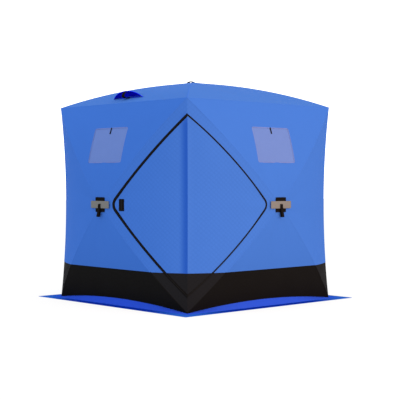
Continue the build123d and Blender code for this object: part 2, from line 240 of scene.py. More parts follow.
@dataclass(frozen=True)
class ShelterForm:
    """Sizes of the shelter's taut form, the same as the frame's, and the patches they give."""

    half: float = 0.9
    corner_height: float = 1.8
    wall_push: float = 0.221
    roof_push: float = 0.234
    rod_bow: float = 0.046
    corner_pull: float = 0.048
    hem_lift: float = 0.057
    hem_bulge: float = 0.026
    band_top: float = 0.335
    ground: float = 0.004
    hub_opening: float = 0.018

    @property
    def middle(self) -> float:
        """Height of the wall hubs."""
        return self.corner_height / 2

    @property
    def wall_hub(self) -> Array:
        """Where the front wall's rods meet."""
        return np.array([0.0, -self.half - self.wall_push, self.middle])

    @property
    def roof_hub(self) -> Array:
        """Where the roof's rods meet."""
        return np.array([0.0, 0.0, self.corner_height + self.roof_push])

    def corner(self, right: int, height: float) -> Array:
        """A point over one of the front wall's two corners: right is 1 or -1."""
        return np.array([right * self.half, -self.half, height])

    def rod(self, hub: Array, corner: Array, outward: Array) -> Array:
        """Control points of a rod's curve: straight from hub to corner, then bowed outward.

        Args:
            hub: The hub's end.
            corner: The corner's end.
            outward: The way the rod bows, which is taken square to the rod.

        Returns:
            Three control points of a quadratic curve.
        """
        along = unit(corner - hub)
        across = unit(outward - along * (outward @ along))
        return np.stack([hub, (hub + corner) / 2 + across * 2 * self.rod_bow, corner])

    def from_hub(self, rod: Array) -> Array:
        """A rod's curve from the rim of the hub's opening on, by blossoming its control points."""
        start = self.hub_opening / self.half
        first = rod[0] * (1 - start) ** 2 + rod[1] * 2 * start * (1 - start) + rod[2] * start**2
        return np.stack([first, rod[1] * (1 - start) + rod[2] * start, rod[2]])

    def panel(self, rod_a: Array, rod_b: Array, pull: Array) -> Patch:
        """The patch between two rods, with its outer edge pulled off the straight line.

        Args:
            rod_a: Control points of the rod at v = 0.
            rod_b: Control points of the rod at v = 1.
            pull: How far the outer edge's middle lies from the straight line.

        Returns:
            The panel's patch.
        """
        start = self.hub_opening / self.half
        a, b = self.from_hub(rod_a), self.from_hub(rod_b)
        share = np.array([start**2, start, 1.0])[:, None]
        return Patch(np.stack([a, (a + b) / 2 + pull * 2 * share, b], 1))

    def front_rod(self, right: int, top: bool) -> Array:
        """Control points of one of the front wall's rods: right is 1 or -1."""
        height = self.corner_height if top else self.ground
        return self.rod(self.wall_hub, self.corner(right, height), FRONT)

    def roof_rod(self, right: int) -> Array:
        """Control points of one of the two roof rods that end above the front wall."""
        return self.rod(self.roof_hub, self.corner(right, self.corner_height), UP)

    def window_patch(self) -> Patch:
        """The front wall's top panel."""
        return self.panel(self.front_rod(-1, True), self.front_rod(1, True), np.zeros(3))

    def lower_patch(self) -> Patch:
        """The front wall's bottom panel, with its hem arched up and out at the middle."""
        pull = np.array([0.0, -self.hem_bulge, self.hem_lift])
        return self.panel(self.front_rod(-1, False), self.front_rod(1, False), pull)

    def corner_patch(self) -> Patch:
        """The front half of the door corner's panel, its crease drawn in between top and ground."""
        pull = np.array([-1.0, 1.0, 0.0]) * self.corner_pull / math.sqrt(2)
        return self.panel(self.front_rod(1, False), self.front_rod(1, True), pull)

    def roof_patch(self) -> Patch:
        """The roof's front panel."""
        return self.panel(self.roof_rod(-1), self.roof_rod(1), np.zeros(3))


@dataclass
class Surface:
    """A mesh in the making: points, each point's flat place on its cloth, and faces of 3 or 4."""

    points: Array
    flat: Array
    quads: Array
    triangles: Array = field(default_factory=lambda: np.zeros((0, 3), int))

    def moved(self, points: Array) -> "Surface":
        """The same faces on other points."""
        return replace(self, points=points)

    def turned(self, quarters: int) -> "Surface":
        """The surface turned about +Z by quarter turns."""
        return self.moved(turned(self.points, quarters))

    def mirrored(self) -> "Surface":
        """The surface mirrored in the door corner's upright plane, with its faces outwards."""
        flat, points = self.flat * np.array([-1.0, 1.0]), mirrored(self.points)
        return Surface(points, flat, self.quads[:, ::-1], self.triangles[:, ::-1])

    def normals(self) -> Array:
        """Each point's normal: the sum of its faces' normals, weighted by their area."""
        total = np.zeros_like(self.points)
        for faces, (a, b), (c, d) in (
            (self.quads, (0, 2), (1, 3)),
            (self.triangles, (0, 1), (0, 2)),
        ):
            p = self.points[faces]
            own = np.cross(p[:, b] - p[:, a], p[:, d] - p[:, c])
            for corner in range(faces.shape[1]):
                np.add.at(total, faces[:, corner], own)
        return unit(total)

    def facing(self, direction: Array) -> "Surface":
        """The surface, its faces turned over if on the whole they look away from a direction."""
        if (self.normals() @ direction).mean() > 0:
            return self
        return replace(self, quads=self.quads[:, ::-1], triangles=self.triangles[:, ::-1])

    def area(self) -> float:
        """Area of all faces, each quad as two triangles."""
        total = 0.0
        for faces in (self.quads[:, [0, 1, 2]], self.quads[:, [0, 2, 3]], self.triangles):
            p = self.points[faces]
            doubled = np.cross(p[:, 1] - p[:, 0], p[:, 2] - p[:, 0])
            total += np.linalg.norm(doubled, axis=1).sum() / 2
        return float(total)

    def thick(self, depth: float) -> "Surface":
        """A closed shell: the surface, its copy moved in by a depth, and a rim round every edge.

        Args:
            depth: Wall thickness, measured inwards along each point's normal.

        Returns:
            The closed shell.
        """
        count = len(self.points)
        inner = self.points - self.normals() * depth
        edges = np.concatenate(
            [self.quads[:, [i, (i + 1) % 4]] for i in range(4)]
            + [self.triangles[:, [i, (i + 1) % 3]] for i in range(3)]
        )
        key = np.sort(edges, 1) @ np.array([count, 1])
        _, where, uses = np.unique(key, return_inverse=True, return_counts=True)
        rim = edges[uses[where] == 1]
        walls = np.stack([rim[:, 1], rim[:, 0], rim[:, 0] + count, rim[:, 1] + count], 1)
        return Surface(
            np.concatenate([self.points, inner]),
            np.concatenate([self.flat, self.flat]),
            np.concatenate([self.quads, self.quads[:, ::-1] + count, walls]),
            np.concatenate([self.triangles, self.triangles[:, ::-1] + count]),
        )


def joined(surfaces: list[Surface], weld: bool = False) -> Surface:
    """Several surfaces as one.

    Args:
        surfaces: What to join.
        weld: Whether points at the same place become one point.

    Returns:
        The joined surface.
    """
    starts = np.cumsum([0] + [len(s.points) for s in surfaces[:-1]])
    points = np.concatenate([s.points for s in surfaces])
    flat = np.concatenate([s.flat for s in surfaces])
    quads = np.concatenate([s.quads + n for s, n in zip(surfaces, starts)])
    triangles = np.concatenate([s.triangles + n for s, n in zip(surfaces, starts)])
    if not weld:
        return Surface(points, flat, quads, triangles)
    places = np.round(points / WELD_STEP).astype(np.int64)
    _, first, where = np.unique(places, axis=0, return_index=True, return_inverse=True)
    where = where.reshape(-1)
    return cleaned(Surface(points[first], flat[first], where[quads], where[triangles]))


def cleaned(surface: Surface) -> Surface:
    """The surface with each quad that has lost a side made a triangle or dropped.

    Args:
        surface: A surface whose quads may name one point twice.

    Returns:
        The surface with whole faces only, and no stray point.
    """
    quads, triangles = surface.quads, surface.triangles
    same = quads == np.roll(quads, -1, axis=1)
    crossed = (quads[:, 0] == quads[:, 2]) | (quads[:, 1] == quads[:, 3])
    once = (same.sum(1) == 1) & ~crossed
    kept = np.take_along_axis(
        quads[once], (np.argmax(same[once], 1)[:, None] + np.array([1, 2, 3])) % 4, axis=1
    )
    quads = quads[(same.sum(1) == 0) & ~crossed]
    triangles = np.concatenate([triangles, kept])
    whole = (triangles != np.roll(triangles, 1, axis=1)).all(1)
    triangles = triangles[whole]
    used = np.unique(np.concatenate([quads.ravel(), triangles.ravel()]))
    number = np.zeros(len(surface.points), int)
    number[used] = np.arange(len(used))
    return Surface(surface.points[used], surface.flat[used], number[quads], number[triangles])


def grid_faces(rows: int, columns: int, keep: Array | None = None) -> Array:
    """Quads of a grid of points, wound so that rows upwards and columns rightwards face the viewer.

    Args:
        rows: Number of rows of points.
        columns: Number of points in a row.
        keep: Which cells to keep, rows - 1 by columns - 1, or None for all.

    Returns:
        The quads' point numbers.
    """
    n = np.arange(rows * columns).reshape(rows, columns)
    quads = np.stack([n[:-1, :-1], n[:-1, 1:], n[1:, 1:], n[1:, :-1]], -1)
    return quads[keep] if keep is not None else quads.reshape(-1, 4)


def grid_surface(points: Array, flat: Array, keep: Array | None = None) -> Surface:
    """A grid of points, rows by columns, as a surface."""
    rows, columns = points.shape[:2]
    return Surface(points.reshape(-1, 3), flat.reshape(-1, 2), grid_faces(rows, columns, keep))


def steps(
    low: float, high: float, pitch: float, stops: tuple[float, ...] = (), nearest: float = 0.35
) -> Array:
    """Values from low to high a pitch apart, on the pitch's own multiples, with the stops added.

    Args:
        low: First value.
        high: Last value.
        pitch: Distance between values.
        stops: Values that have to be there.
        nearest: Share of the pitch within which a value gives way to a stop.

    Returns:
        The values in order.
    """
    held = np.array(sorted({low, high, *stops}))
    free = np.arange(math.ceil(low / pitch), math.floor(high / pitch) + 1) * pitch
    clear = np.abs(free[:, None] - held[None, :]).min(1) > pitch * nearest
    return np.sort(np.concatenate([held, free[clear]]))


def tube(path: Array, side: Array, out: Array, profile: Array, closed: bool = False) -> Surface:
    """A closed profile carried along a path, with a cap at each end unless the path is a loop.

    Each ring's points are the path's point plus the profile's first number along the side
    direction and its second along the outward one.

    Args:
        path: Points of the path, n by 3.
        side: The profile's first direction at each point.
        out: The profile's second direction at each point.
        profile: Points of the closed profile, m by 2 or n by m by 2, counterclockwise seen back
            along the path.
        closed: Whether the path's last point runs on to its first.

    Returns:
        The closed tube, its flat place being the distance along the path and round the profile.
    """
    profile = np.broadcast_to(profile, (len(path), *profile.shape[-2:]))
    rings = path[:, None] + side[:, None] * profile[..., :1] + out[:, None] * profile[..., 1:]
    n, m = rings.shape[:2]
    flat = np.stack(np.broadcast_arrays(run_along(path)[:, None], profile[..., 0]), -1)
    number = np.arange(n * m).reshape(n, m)
    after = np.roll(number, -1, axis=1)
    if closed:
        ahead = [np.roll(n, -1, axis=0) for n in (after, number)]
        quads = np.stack([number, after, *ahead], -1).reshape(-1, 4)
        return Surface(rings.reshape(-1, 3), flat.reshape(-1, 2), quads)
    quads = np.stack([number[:-1], after[:-1], after[1:], number[1:]], -1).reshape(-1, 4)
    middles = np.stack([rings[0].mean(0), rings[-1].mean(0)])
    first = np.stack([np.full(m, n * m), after[0], number[0]], 1)
    last = np.stack([np.full(m, n * m + 1), number[-1], after[-1]], 1)
    return Surface(
        np.concatenate([rings.reshape(-1, 3), middles]),
        np.concatenate([flat.reshape(-1, 2), flat[[0, -1], 0]]),
        quads,
        np.concatenate([first, last]),
    )


def mesh_object(name: str, surface: Surface, material: bpy.types.Material) -> bpy.types.Object:
    """Puts a surface into the scene as a smooth mesh with its flat places as its UV map.

    Args:
        name: The piece's name.
        surface: Its mesh.
        material: Its material.

    Returns:
        The new object, riding on the frame's one body.
    """
    mesh = bpy.data.meshes.new(name)
    faces = surface.quads.tolist() + surface.triangles.tolist()
    mesh.from_pydata(surface.points.tolist(), [], faces)
    loops = np.zeros(len(mesh.loops), np.int32)
    mesh.loops.foreach_get("vertex_index", loops)
    layer = mesh.uv_layers.new(name="flat")
    layer.data.foreach_set("uv", surface.flat[loops].astype(np.float32).ravel())
    mesh.polygons.foreach_set("use_smooth", np.ones(len(mesh.polygons), bool))
    mesh.set_sharp_from_angle(angle=SHARP_ANGLE)
    mesh.materials.append(material)
    mesh.update()
    piece = bpy.data.objects.new(name, mesh)
    bpy.context.scene.collection.objects.link(piece)
    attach(piece, "root")
    return piece


class Nodes:
    """A material's node tree in the making, with short ways to add and join nodes."""

    def __init__(self, name: str) -> None:
        """Starts an empty tree with its output.

        Args:
            name: The material's name.
        """
        self.material = bpy.data.materials.new(name)
        self.material.use_nodes = True
        self.tree = self.material.node_tree
        self.tree.nodes.clear()
        self.output = self.tree.nodes.new("ShaderNodeOutputMaterial")

    def add(self, kind: str, inputs: dict | None = None, **settings) -> bpy.types.Node:
        """Adds a node.

        Args:
            kind: Its type, without the leading ShaderNode.
            inputs: Values or sockets for its inputs, by name or number.
            settings: Values for its own properties.

        Returns:
            The new node.
        """
        node = self.tree.nodes.new("ShaderNode" + kind)
        for name, value in settings.items():
            setattr(node, name, value)
        for name, value in (inputs or {}).items():
            if isinstance(value, bpy.types.NodeSocket):
                self.tree.links.new(value, node.inputs[name])
            else:
                node.inputs[name].default_value = value
        return node

    def math(self, operation: str, first, second=0.0) -> bpy.types.NodeSocket:
        """A Math node's result on two numbers or sockets."""
        return self.add("Math", {0: first, 1: second}, operation=operation).outputs[0]

    def plus(self, first, second) -> bpy.types.NodeSocket:
        """The sum of two numbers or sockets."""
        return self.math("ADD", first, second)

    def times(self, first, second) -> bpy.types.NodeSocket:
        """The product of two numbers or sockets."""
        return self.math("MULTIPLY", first, second)

    def noise(self, place, scale: float, detail: float) -> bpy.types.NodeSocket:
        """A noise between 0 and 1 at a place."""
        settings = {"Vector": place, "Scale": scale, "Detail": detail}
        return self.add("TexNoise", settings).outputs["Fac"]

    def bumped(self, height, depth: float) -> bpy.types.NodeSocket:
        """The normal of a relief of a given depth."""
        settings = {"Height": height, "Strength": 1.0, "Distance": depth}
        return self.add("Bump", settings).outputs[0]

    def ramp(self, value, low: float, high: float) -> bpy.types.NodeSocket:
        """A soft step from 0 where the value is low to 1 where it is high."""
        ends = {"Value": value, "From Min": low, "From Max": high}
        return self.add("MapRange", ends, interpolation_type="SMOOTHSTEP").outputs[0]

    def mixed(self, share, first, second: tuple) -> bpy.types.NodeSocket:
        """A colour socket's colour gone over to a second colour by a share."""
        node = self.add("Mix", {0: share, 6: first, 7: (*second, 1.0)}, data_type="RGBA")
        return node.outputs[2]

    def shader(self, inputs: dict) -> None:
        """Adds a Principled shader joined to the output."""
        node = self.add("BsdfPrincipled", inputs)
        self.tree.links.new(node.outputs[0], self.output.inputs["Surface"])

    def blend(self, share, low: tuple, high: tuple) -> bpy.types.NodeSocket:
        """A colour between two, by a share from 0 to 1."""
        ramp = self.add("ValToRGB", {0: share})
        ramp.color_ramp.elements[0].color = (*low, 1.0)
        ramp.color_ramp.elements[1].color = (*high, 1.0)
        return ramp.outputs[0]


def shades(colour: tuple, spread: float) -> tuple[tuple, tuple]:
    """A colour made darker and made lighter by a share."""
    dark, light = (tuple(min(1.0, c * (1 + s)) for c in colour) for s in (-spread, spread))
    return dark, light


@dataclass(frozen=True)
class ClothFinish:
    """Woven cloth: its colour, mottle and weave, its quilting, and where painted shade is put on it.
    """

    name: str
    colour: tuple
    weave: Weave = Weave.TAFFETA
    mottle: float = 0.04
    roughness: float = 0.8
    specular: float = 0.015
    quilt: float = 0.0
    quilt_depth: float = 0.0004
    # Share of painted shade that follows the quilting: darker on its stitched lines, lighter amid
    # its diamonds.
    quilt_shade: float = 0.03
    # Colour of the painted shade beside the door's crease, or None.
    crease: tuple | None = None
    tip: tuple | None = None
    grain: float = 90.0
    cloud: float = 2.2

    def material(self) -> bpy.types.Material:
        """The cloth's material.

        The relief is two crossed sine waves for the threads plus fine noise, and on quilted cloth
        the pillows too; there the colour also carries painted shade, darker on the stitched lines
        and lighter amid each diamond. Beside the fold of the door's cloth, below the zip's top, the
        colour goes over to a painted shade. Towards both ends of a strip it goes over to the tip's
        lighter colour, and the strip's darker middle is painted shade.

        Returns:
            The material.
        """
        nodes = Nodes(self.name)
        threads, depth = self.weave.value
        flat = nodes.add("UVMap", uv_map="flat").outputs[0]
        place = nodes.add("TexCoord").outputs["Object"]
        across, up, _ = nodes.add("SeparateXYZ", {0: flat}).outputs
        wave = {"Vector": flat, "Scale": threads * math.tau / 20}
        warp, weft = (
            nodes.add("TexWave", wave, bands_direction=way).outputs["Fac"] for way in ("X", "Y")
        )
        grain, cloud = nodes.noise(place, self.grain, 4.0), nodes.noise(place, self.cloud, 3.0)
        relief = nodes.plus(nodes.times(warp, weft), grain)
        share = nodes.plus(nodes.times(cloud, 0.7), nodes.times(grain, 0.3))
        spread = self.mottle + self.quilt_shade * bool(self.quilt)
        if self.quilt:
            # Painted shade from the pillows: the colour is darker on the stitched lines and lighter
            # amid each diamond.
            pillow = self.pillows(nodes, across, up)
            pillow_shade = nodes.times(pillow, self.quilt_shade / spread)
            share = nodes.plus(nodes.times(share, self.mottle / spread), pillow_shade)
            relief = nodes.plus(relief, nodes.times(pillow, self.quilt_depth / depth))
        colour = nodes.blend(share, *shades(self.colour, spread))
        # Painted shade: the colour darkens beside the door's crease and fades out towards the door's
        # top.
        if self.crease:
            near, short = nodes.ramp(across, *CREASE_SHADE_NEAR), nodes.ramp(across, *CREASE_SHADE_SHORT)
            shade = nodes.times(nodes.times(near, short), nodes.ramp(up, *CREASE_SHADE_FADE))
            colour = nodes.mixed(shade, colour, self.crease)
        # Painted shade: a skirt strip is dark along its middle and goes over to a lighter colour
        # towards its tips.
        if self.tip:
            outer = nodes.ramp(nodes.math("ABSOLUTE", across), *TIP_SPAN)
            colour = nodes.mixed(outer, colour, self.tip)
        nodes.shader(
            {
                "Base Color": colour,
                "Roughness": self.roughness,
                "Specular IOR Level": self.specular,
                "Normal": nodes.bumped(relief, depth),
            }
        )
        return nodes.material

    def pillows(self, nodes: Nodes, across, up) -> bpy.types.NodeSocket:
        """The quilting's height, from 0 on the stitched lines to 1 amid a diamond.

        It is the root of the product of |sin| of the flat place's two diagonals.

        Args:
            nodes: The material's nodes.
            across: The flat place's first coordinate.
            up: Its second coordinate.

        Returns:
            The height.
        """
        diagonals = (nodes.math(sign, across, up) for sign in ("ADD", "SUBTRACT"))
        sines = (nodes.math("SINE", nodes.times(d, math.pi / self.quilt)) for d in diagonals)
        return nodes.math("SQRT", nodes.math("ABSOLUTE", nodes.times(*sines)))


@dataclass(frozen=True)
class PlasticFinish:
    """Moulded or drawn plastic: its colour, gloss and grain."""

    name: str
    colour: tuple
    roughness: float = 0.45
    grain: float = 900.0
    depth: float = 0.00005
    coat: float = 0.0
    specular: float = 0.5
    mottle: float = 0.14
    cloud: float = 14.0

    def material(self) -> bpy.types.Material:
        """The plastic's material: a fine noise for its grain and a slow one for its shade."""
        nodes = Nodes(self.name)
        place = nodes.add("TexCoord").outputs["Object"]
        fine, slow = nodes.noise(place, self.grain, 2.0), nodes.noise(place, self.cloud, 3.0)
        nodes.shader(
            {
                "Base Color": nodes.blend(slow, *shades(self.colour, self.mottle)),
                "Roughness": self.roughness,
                "Specular IOR Level": self.specular,
                "Coat Weight": self.coat,
                "Coat Roughness": 0.12,
                "Normal": nodes.bumped(fine, self.depth),
            }
        )
        return nodes.material


class Finish(Enum):
    """Every finish on the shelter."""

    WALL = ClothFinish("wall_cloth", (0.032, 0.112, 0.42))
    # Quilted cloth, with painted shade beside the door's crease.
    QUILT = ClothFinish(
        "quilted_cloth", (0.033, 0.113, 0.42), quilt=QUILT_STEP, crease=(0.014, 0.070, 0.36)
    )
    ROOF = ClothFinish("roof_cloth", (0.037, 0.118, 0.39))
    SEAM = ClothFinish("seam_tape", (0.033, 0.114, 0.425), weave=Weave.WEBBING)
    SKIRT = ClothFinish("skirt_cloth", (0.018, 0.062, 0.50), specular=0.0)
    # The skirt's outer strip: its dark colour is painted shade at the skirt's fold, lighter towards
    # the corners.
    SKIRT_EDGE = ClothFinish(
        "skirt_edge_cloth", (0.002, 0.026, 0.34), specular=0.0, tip=(0.014, 0.090, 0.43)
    )
    BAND = ClothFinish("band_cloth", (0.0042, 0.0040, 0.0040), Weave.CANVAS, 0.1, 0.9, 0.04)
    # Black quilted kick panel, with painted shade on its stitched lines.
    KICK = ClothFinish(
        "kick_cloth",
        (0.0074, 0.0078, 0.0094),
        Weave.CANVAS,
        mottle=0.1,
        roughness=0.9,
        specular=0.04,
        quilt=QUILT_STEP,
        quilt_shade=0.06,
    )
    CORNER_BAND = ClothFinish(
        "corner_band_cloth", (0.0070, 0.0074, 0.0088), Weave.CANVAS, 0.1, 0.9, 0.04
    )
    WEBBING = ClothFinish(
        "black_strap_weave", (0.0046, 0.0040, 0.0040), Weave.WEBBING, 0.1, 0.9, 0.03
    )
    STRIPE = ClothFinish("tab_stripe", (0.009, 0.009, 0.011), Weave.WEBBING, 0.1, 0.8, 0.04)
    STRIP = ClothFinish("grey_strap_weave", (0.129, 0.130, 0.130), Weave.WEBBING, 0.06, 0.85, 0.04)
    # Dark navy inside the vents: painted shade that deepens the real shade under the visor and in
    # the mouth.
    LINER = ClothFinish("vent_liner", (0.002, 0.006, 0.62))
    TAPE = ClothFinish("zip_tape", (0.0034, 0.0030, 0.0030), Weave.WEBBING, 0.08, 0.9, 0.03)
    # Window film: the blue cover behind it, lightened by a painted reflection of white light.
    FILM = PlasticFinish("film_painted_reflection", (0.080, 0.140, 0.375), 0.4, 30.0, 0.0003, 0.0, 0.05, 0.03)
    FILM_EDGE = PlasticFinish("window_border", (0.10, 0.140, 0.36), 0.6, 400.0, 0.0001, 0.0, 0.05)
    TEETH = PlasticFinish("zip_teeth", (0.004, 0.004, 0.004), roughness=0.6, specular=0.08)
    ROD = PlasticFinish("drawn_fibreglass", (0.05, 0.05, 0.055), roughness=0.3, coat=0.3)
    HUB = PlasticFinish("moulded_hub", (0.014, 0.014, 0.016), roughness=0.5)

    @property
    def made(self) -> bpy.types.Material:
        """The finish's material, made once."""
        return bpy.data.materials.get(self.value.name) or self.value.material()


@dataclass
class Trim:
    """A small sewn or moulded piece, already a closed shell."""

    name: str
    surface: Surface
    finish: Finish
    slot: str
    stands_for: tuple[str, ...] = ()

    def make(self) -> bpy.types.Object:
        """Puts the piece in the scene."""
        piece = mesh_object(self.name, self.surface, self.finish.made)
        if self.stands_for:
            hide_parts(*self.stands_for)
        return piece


@dataclass
class Cloth(Trim):
    """A cut piece of cloth, given its thickness here, its cut's size logged."""

    depth: float = 0.0032
    held: str = "stretched"
    cut: tuple[float, float] | None = None
    sheet: bool = True
    least_fill: float = 0.3

    def make(self) -> bpy.types.Object:
        """Its cut is the oblong round its flat places, made larger where the area is more than that,
        and shorter where the area would fill too little of it.

        Returns:
            The new object.
        """
        shell = self.surface.thick(self.depth)
        piece = Trim(self.name, shell, self.finish, self.slot, self.stands_for).make()
        if self.sheet:
            area = self.surface.area()
            cut = self.cut or tuple(float(c) for c in np.ptp(self.surface.flat, axis=0))
            fill = max(1.0, area / (cut[0] * cut[1]))
            cut = (cut[0] * math.sqrt(fill), cut[1] * math.sqrt(fill))
            cut = (cut[0], min(cut[1], area / cut[0] / self.least_fill))
            log.info("%s: cut %.3f by %.3f, area %.3f", self.name, *cut, area)
        return piece


def round_about(surface: Surface, quarters: tuple[int, ...] = (0, 1, 2, 3)) -> Surface:
    """Copies of a surface turned onto several sides, as one."""
    return joined([surface.turned(q) for q in quarters])


@dataclass(frozen=True)
class SewnPatch:
    """A rounded piece of cloth sewn flat, its edge crowned and its stitches sunk in a line."""

    width: float
    height: float
    corner: float
    thickness: float
    stitch_inset: float = 0.005
    stitch_depth: float = 0.0006
    crown: float = 0.0028
    pitch: float = 0.009
    rim_lines: tuple = (0.0, 0.0005, 0.0014, 0.0028)
    groove_reach: float = 0.0011
    groove_width: float = 0.0008

    def lines(self, half: float) -> Array:
        """Where the grid's lines run: close at the rim and the stitches, then a pitch apart.

        Args:
            half: Half the patch's width or height.

        Returns:
            The lines' places, from -half to half.
        """
        groove = self.stitch_inset + np.array([-1.0, 0.0, 1.0]) * self.groove_reach
        rim = np.concatenate([self.rim_lines, groove])
        inner = half - rim[-1]
        middle = np.linspace(-inner, inner, max(3, round(2 * inner / self.pitch)) + 1)[1:-1]
        return np.concatenate([rim - half, middle, (half - rim)[::-1]])

    def surface(self, place: Callable[[Array, Array, Array], Array]) -> Surface:
        """The patch's closed shell.

        With e the distance from the edge, the height is the thickness times 1 less 0.65 times
        (1 - e / crown)^2, less a narrow bell of the stitches' depth where e is their inset.

        Args:
            place: Gives the points at distances right, up and out from the patch's middle.

        Returns:
            The shell.
        """
        a, b = self.lines(self.width / 2), self.lines(self.height / 2)
        past = np.maximum(np.abs(b) - (self.height / 2 - self.corner), 0)
        reach = self.width / 2 - self.corner + np.sqrt(np.maximum(self.corner**2 - past**2, 0))
        x = a[None, :] / (self.width / 2) * reach[:, None]
        z = np.broadcast_to(b[:, None], x.shape)
        edge = np.minimum(reach[:, None] - np.abs(x), self.height / 2 - np.abs(z))
        fall = 0.65 * np.maximum(1 - edge / self.crown, 0) ** 2
        off = (edge - self.stitch_inset) / self.groove_width
        groove = self.stitch_depth * np.exp(-(off**2))
        points = place(x, z, self.thickness * (1 - fall) - groove)
        return grid_surface(points, np.stack([x, z], -1)).thick(self.thickness * 0.6)


@dataclass(frozen=True)
class SeamTape:
    """A tape welded over a seam, bent over the ridge between two panels."""

    width: float = 0.012
    rise: float = 0.0008
    depth: float = 0.002
    lift: float = 0.0002

    def surface(self, path: Array, normal_a: Array, normal_b: Array) -> Surface:
        """The tape's closed shell along a path.

        At a distance s to either side of the ridge it lies on that side's panel, raised by
        the lift plus the rise times (1 - (2 s / width)^2).

        Args:
            path: Points of the ridge.
            normal_a: The panel's normal on the path's left at each point.
            normal_b: The panel's normal on the path's right at each point.

        Returns:
            The shell, its flat place being the distance along and across.
        """
        tangent = unit(np.gradient(path, axis=0))
        left, right = unit(np.cross(normal_a, tangent)), unit(np.cross(tangent, normal_b))
        lines = np.array([1.0, 0.8, 0.5, 0.2])
        share = lines[None, :, None]
        s, h = share * self.width / 2, self.rise * (1 - share**2) + self.lift
        a = path[:, None] + left[:, None] * s + normal_a[:, None] * h
        b = path[:, None] + right[:, None] * s + normal_b[:, None] * h
        crest = path + unit(normal_a + normal_b) * (self.rise + self.lift)
        points = np.concatenate([a, crest[:, None], b[:, ::-1]], 1)
        span = np.concatenate([-lines, [0.0], lines[::-1]]) * self.width / 2
        flat = np.stack(np.broadcast_arrays(run_along(path)[:, None], span[None, :]), -1)
        return grid_surface(points, flat).thick(self.depth)


def rounded(points: Array, closed: bool, times: int = 4) -> Array:
    """A path with its corners cut again and again, a quarter of each run from either end.

    Args:
        points: The path's corners.
        closed: Whether the last runs on to the first.
        times: How often its corners are cut.

    Returns:
        The smooth path.
    """
    points = np.asarray(points, float)
    for _ in range(times):
        after = np.roll(points, -1, axis=0)
        cut = np.stack([points * 0.75 + after * 0.25, points * 0.25 + after * 0.75], 1)
        cut = cut.reshape(-1, points.shape[1])
        points = cut if closed else np.concatenate([points[:1], cut[:-2], points[-1:]])
    return points


def strap(path: Array, side: Array, width: float, thickness: float, closed: bool) -> Surface:
    """Webbing carried along a path, its section a rounded oblong.

    The section is the width times the root of the cosine's root, by the thickness times the sine's
    root, each with its sign.

    Args:
        path: Points of its middle.
        side: The direction of its width.
        width: Its width.
        thickness: Its thickness.
        closed: Whether the path is a loop.

    Returns:
        The closed shell.
    """
    angle = np.linspace(0, math.tau, 17)[:-1] + math.tau / 32
    across = np.sign(np.cos(angle)) * np.abs(np.cos(angle)) ** 0.25 * width / 2
    out = np.sign(np.sin(angle)) * np.abs(np.sin(angle)) ** 0.5 * thickness / 2
    tangent = np.gradient(path, axis=0)
    if closed:
        tangent = np.roll(path, -1, axis=0) - np.roll(path, 1, axis=0)
    sides = np.broadcast_to(np.asarray(side, float), path.shape)
    return tube(path, sides, unit(np.cross(tangent, sides)), np.stack([across, out], -1), closed)


@dataclass(frozen=True)
class Folds:
    """Soft folds that fan out from a point where cloth is pulled."""

    count: float
    reach: float
    height: float

    def at(self, first: Array, second: Array, apex: tuple, heading: float) -> Array:
        """Height of the folds.

        With r the distance from the apex and a the angle from the heading, the height is
        height times (r / reach) times e^(1 - r / reach) times the cosine of count turns of a.

        Args:
            first: First flat coordinate of each point.
            second: Second flat coordinate of each point.
            apex: The pulled point's flat place.
            heading: Angle of the fan's middle line, in radians from the first axis.

        Returns:
            The height at each point.
        """
        a, b = first - apex[0], second - apex[1]
        r = np.hypot(a, b) / self.reach
        angle = np.arctan2(b, a) - heading
        return self.height * r * np.exp(1 - r) * np.cos(self.count * math.tau * angle)


@dataclass(frozen=True)
class PanelFolds:
    """A panel's folds: one fan from its hub and one from each of its two corners."""

    hub: Folds
    corner: Folds

    def at(self, first: Array, second: Array, hub: tuple, corners: tuple) -> Array:
        """The fans' heights, added.

        Args:
            first: First flat coordinate of each point.
            second: Second flat coordinate of each point.
            hub: The hub's flat place and the heading of its fan.
            corners: The same for each corner.

        Returns:
            The height at each point.
        """
        total = self.hub.at(first, second, *hub)
        for corner in corners:
            total = total + self.corner.at(first, second, *corner)
        return total


def held_at_rods(u: Array, v: Array) -> Array:
    """A share that is 0 on a panel's rods and at its hub, and 1 amid the panel."""
    return plateau(v, 5) * smooth(4 * u)


